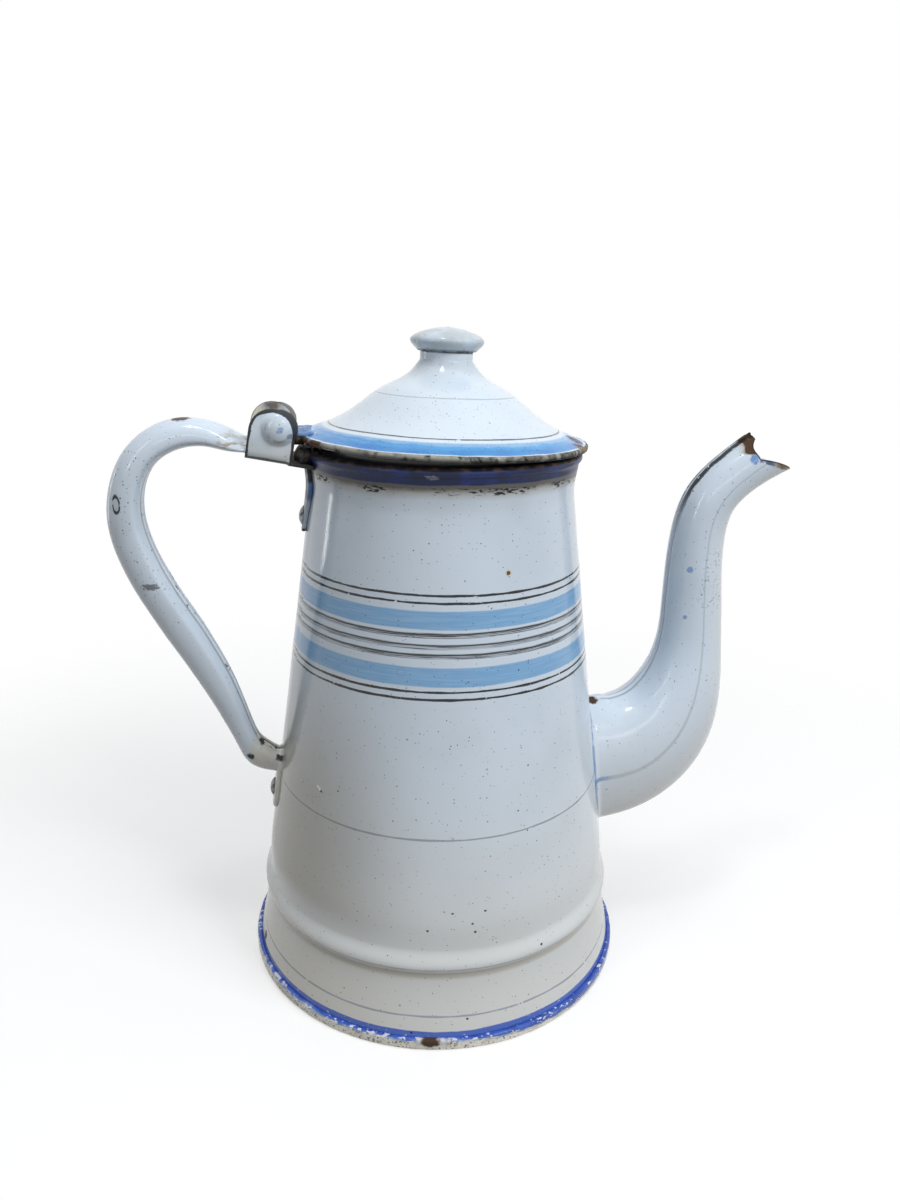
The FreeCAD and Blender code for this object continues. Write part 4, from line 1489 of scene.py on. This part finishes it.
def lid_look():
    look = glazed("lid_enamel", lid_white, white, 30)
    inside = look.stored("inside")
    ring = look.radius.wavy(40, 0.25)
    right_side = look.x.step(-25, 35)
    low, high = lid_band
    # Painted rings: faint line, dark line, white strip and blue band
    look.lay(slate, ring.fine_line(lid_upper_line, 0.26, 3) * 0.4)
    look.lay(black, ring.fine_line(lid_lower_line, 0.34, 6) * 0.85)
    blue = ring.step(low - 0.3, low + 0.7) * look.radius.wavy(9, 0.4).fall(high - 0.2, high + 0.4)
    depth = look.radius.wavy(6, 1.2, 14).step(low + 0.5, high - 0.5)
    # Paler at the band's inner edge: a painted highlight
    paint = look.mix(pale_sky, lid_sky, depth.step(0.0, 0.3))
    streaky = look.noise(5, 3, 9, (2, 2, 1)).step(0.35, 0.65)
    paint = look.mix(paint, lid_deep_sky, depth.step(0.35, 0.9) * streaky.pick(0.5, 1.0))
    # Deeper blue along the inner part of the band on the left: a painted reflection of something dark
    paint = look.mix(paint, lid_deep_sky, depth.band(0.05, 0.3, 0.1) * look.x.fall(-40, -5) * 0.7)
    look.lay(paint, blue * 0.95)
    # Rim: grey and brown where bare, with flakes of enamel left
    edge = look.radius.wavy(5, 0.4, 3).step(high + 0.4, high + 0.9)
    flakes = look.noise(1.5, 3, 12).step(0.5, 0.56)
    bare = look.mix(rim_grey, rust, look.noise(3, 3, 13).step(0.45, 0.65) * 0.6)
    bare = look.mix(bare, black, look.noise(1.6, 2, 16).step(0.54, 0.6))
    rim = look.mix(rim_cream, rim_grey, look.noise(4, 3, 18).step(0.45, 0.75))
    wear = look.noise(3, 3, 20).step(right_side.pick(0.5, 0.32), right_side.pick(0.64, 0.46))
    rim = look.mix(rim, bare, wear * flakes.scaled(0.3, 0.7))
    # Black along the rim's lower edge: painted shade
    rim = look.mix(rim, black, look.z.fall(lid_rim_bottom + 0.5, lid_rim_bottom + 1.4) * 0.85)
    look.lay(rim, edge * (1 - inside))
    # Marks
    notch = any_of(look.patch, lid_notch, (3.5, 4.0, 2.0), 0.9, 2.5, 0.3)
    look.lay(look.mottled(rust, tan, 2.0), notch * 0.85)
    hinge_rust = any_of(look.blob, lid_hinge_rust, 4.0, 0.8, 0.4) * edge
    look.lay(brown, hinge_rust)
    look.lay(cream, any_of(look.blob, lid_flecks, 1.1, 0.8) * blue * 0.85)
    pits = look.specks(0.95, 0.45, 0.28) | look.specks(3.2, 0.25, 0.45, 4)
    dark = pits | look.specks(1.0, 0.55, 0.34, 7) * blue
    look.lay(black, dark * 0.8)
    # Inside, stained, and black out towards the rim as painted shade in the gap over the mouth
    below = look.mix(grey_white, tan, look.noise(14, 4, 71).step(0.4, 0.7))
    look.lay(look.mix(below, black, look.radius.step(collar_radius, collar_radius + 2) * 0.9), inside)
    return look.finish(dark * 0.8 | edge * wear | notch | hinge_rust, 0.13, blue.pick(plain_shine, 0.3))


def knob_look():
    look = glazed("knob_enamel", knob_white, shaded_white, 7)
    foot = lid_neck_top[1]
    look.lay(slate, look.z.wavy(5, 0.3).fall(foot + 0.3, foot + 1.0) * 0.7)
    flaked = look.z.fall(foot + 0.1, foot + 0.7) * look.noise(2, 2, 4).step(0.45, 0.55)
    dark = look.specks(0.9, 0.45, 0.26) | look.specks(3.0, 0.25, 0.42, 4) | flaked
    look.lay(black, dark * 0.85)
    return look.finish(dark, 0.12)


def leaf_look():
    look = glazed("leaf_enamel", violet, sky, 4)
    low = look.z.wavy(3, 0.4).fall(195.6, 196.4)
    look.lay(look.mottled(rust, black, 2), low * 0.9)
    pits = look.specks(2.2, 0.5, 0.34)
    look.lay(black, pits * 0.85)
    return look.finish(low * 0.8 | pits, 0.4, 0.12)


def run_look():
    # Black, as painted shade in the gap beside the cheek, over the lid's rim and the mouth
    look = glazed("black_enamel_gap_shade", black, brown, 3)
    return look.finish(look.noise(1.4, 3, 6).step(0.6, 0.68), 0.3, 0.15)


def rivet_look():
    # Grey, darker than the white pieces they hold: painted shade on the rivet heads; brown where worn
    look = glazed("rivet_enamel", grey_white, slate, 3)
    worn = look.noise(1.5, 3, 5).step(0.56, 0.64)
    look.lay(brown, worn * 0.7)
    return look.finish(worn, 0.2)


def collar_look():
    look = glazed("collar_enamel", grey_white, tan, 12)
    rusty = look.z.wavy(6, 0.7).fall(collar_bottom + 0.5, collar_bottom + 1.6)
    look.lay(rust, rusty)
    # Black on its upper part: painted shade in the gap under the lid
    look.lay(black, look.z.wavy(5, 0.6).step(188.5, 190.5) * 0.92)
    pits = look.specks(3, 0.5, 0.4)
    look.lay(black, pits * 0.85)
    return look.finish(rusty | pits, 0.2)


def pin_look():
    look = glazed("pin_steel", steel, slate, 2)
    stained = look.noise(1.6, 4, 2).step(0.45, 0.62)
    look.lay(rust, stained)
    look.shader.inputs["Metallic"].default_value = pin_metal
    return look.finish(stained, 0.4)


def dress(material, *pieces):
    """Give pieces one material."""
    for piece in pieces:
        piece.data.materials.clear()
        piece.data.materials.append(material)


dress(body_look(), body)
dress(pan_look(), pan)
dress(spout_look(), *spout_halves)
dress(handle_look(), handle)
dress(bracket_look(), bracket)
dress(run_look(), run, leaf_lip)
dress(rivet_look(), bracket_rivet, handle_rivet)
dress(lid_look(), lid)
dress(knob_look(), knob)
dress(collar_look(), collar)
dress(leaf_look(), leaf)
steel_look = pin_look()
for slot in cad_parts["hinge_pin"].material_slots:
    slot.material = steel_look


# Floor, light and camera

def soft_light(name, place, aim, size, power, colour, mirrored):
    """Area light turned to a height over the middle, which shows in reflections where it is mirrored."""
    data = bpy.data.lights.new(name, "AREA")
    data.shape = "RECTANGLE"
    data.size, data.size_y = size
    data.energy = power
    data.color = colour
    light = add_object(name, data)
    way = Vector((0, 0, aim)) - Vector(place)
    light.matrix_world = Matrix.Translation(place) @ way.to_track_quat("-Z", "Y").to_matrix().to_4x4()
    light.visible_camera = False
    light.visible_glossy = mirrored


def seen_directly(nodes):
    """1 for rays from the camera, off a gloss or through glass, and 0 for light that bounces."""
    rays = nodes.node("ShaderNodeLightPath", {}).outputs
    return Number(nodes, rays["Is Camera Ray"]) | rays["Is Glossy Ray"] | rays["Is Transmission Ray"]


def make_floor():
    """Pale round floor that fades into the white backdrop and bounces a little warm light."""
    work = bmesh.new()
    bmesh.ops.create_circle(work, cap_ends=True, segments=floor_facet_count, radius=floor_radius)
    floor = add_object("floor", write_back(work, bpy.data.meshes.new("floor")))
    look = Look("pale_floor", floor_bounce)
    seen = seen_directly(look)
    look.lay(floor_colour, seen)
    look.fill(look.shader, {
        "Base Color": look.colour,
        "Emission Color": plain_white,
        "Emission Strength": seen * floor_glow,
        "Roughness": 1.0,
        "Specular IOR Level": 0.0,
    })
    clear = look.node("ShaderNodeBsdfTransparent", {})
    faded = look.radius.step(*floor_fade)
    fade = look.node("ShaderNodeMixShader", {"Fac": faded, 1: look.shader.outputs[0], 2: clear.outputs[0]})
    look.put(look.tree.nodes["Material Output"].inputs["Surface"], fade.outputs[0])
    dress(look.material, floor)


def make_world():
    """Soft light from all round, and a white backdrop where it is seen directly."""
    world = bpy.data.worlds.new("studio")
    bpy.context.scene.world = world
    world.use_nodes = True
    world.node_tree.nodes.clear()
    nodes = Nodes(world.node_tree)
    ambient = nodes.node("ShaderNodeBackground", {"Color": ambient_colour, "Strength": ambient_strength})
    backdrop = nodes.node("ShaderNodeBackground", {"Color": plain_white, "Strength": 1.0})
    shades = {"Fac": seen_directly(nodes), 1: ambient.outputs[0], 2: backdrop.outputs[0]}
    mix = nodes.node("ShaderNodeMixShader", shades)
    nodes.node("ShaderNodeOutputWorld", {"Surface": mix.outputs[0]})


def make_camera():
    """Camera at the photograph's place, turned by its pan, tilt and roll."""
    turn = (
        Matrix.Rotation(-camera_pan, 4, "Z")
        @ Matrix.Rotation(math.pi / 2 - camera_tilt, 4, "X")
        @ Matrix.Rotation(camera_roll, 4, "Z")
    )
    data = bpy.data.cameras.new("camera")
    data.sensor_fit = "VERTICAL"
    data.sensor_height = camera_sensor
    data.lens = camera_lens
    data.clip_start = camera_near
    camera = add_object("camera", data)
    camera.matrix_world = Matrix.Translation(Vector(camera_place) * MM) @ turn
    bpy.context.scene.camera = camera


make_floor()
for light in lights:
    soft_light(*light)
for number, (place, size, power) in enumerate(glints):
    soft_light("glint_" + str(number), place, glint_aim, size, power, glint_light, True)
make_world()
make_camera()
bpy.context.scene.view_settings.view_transform = "Standard"
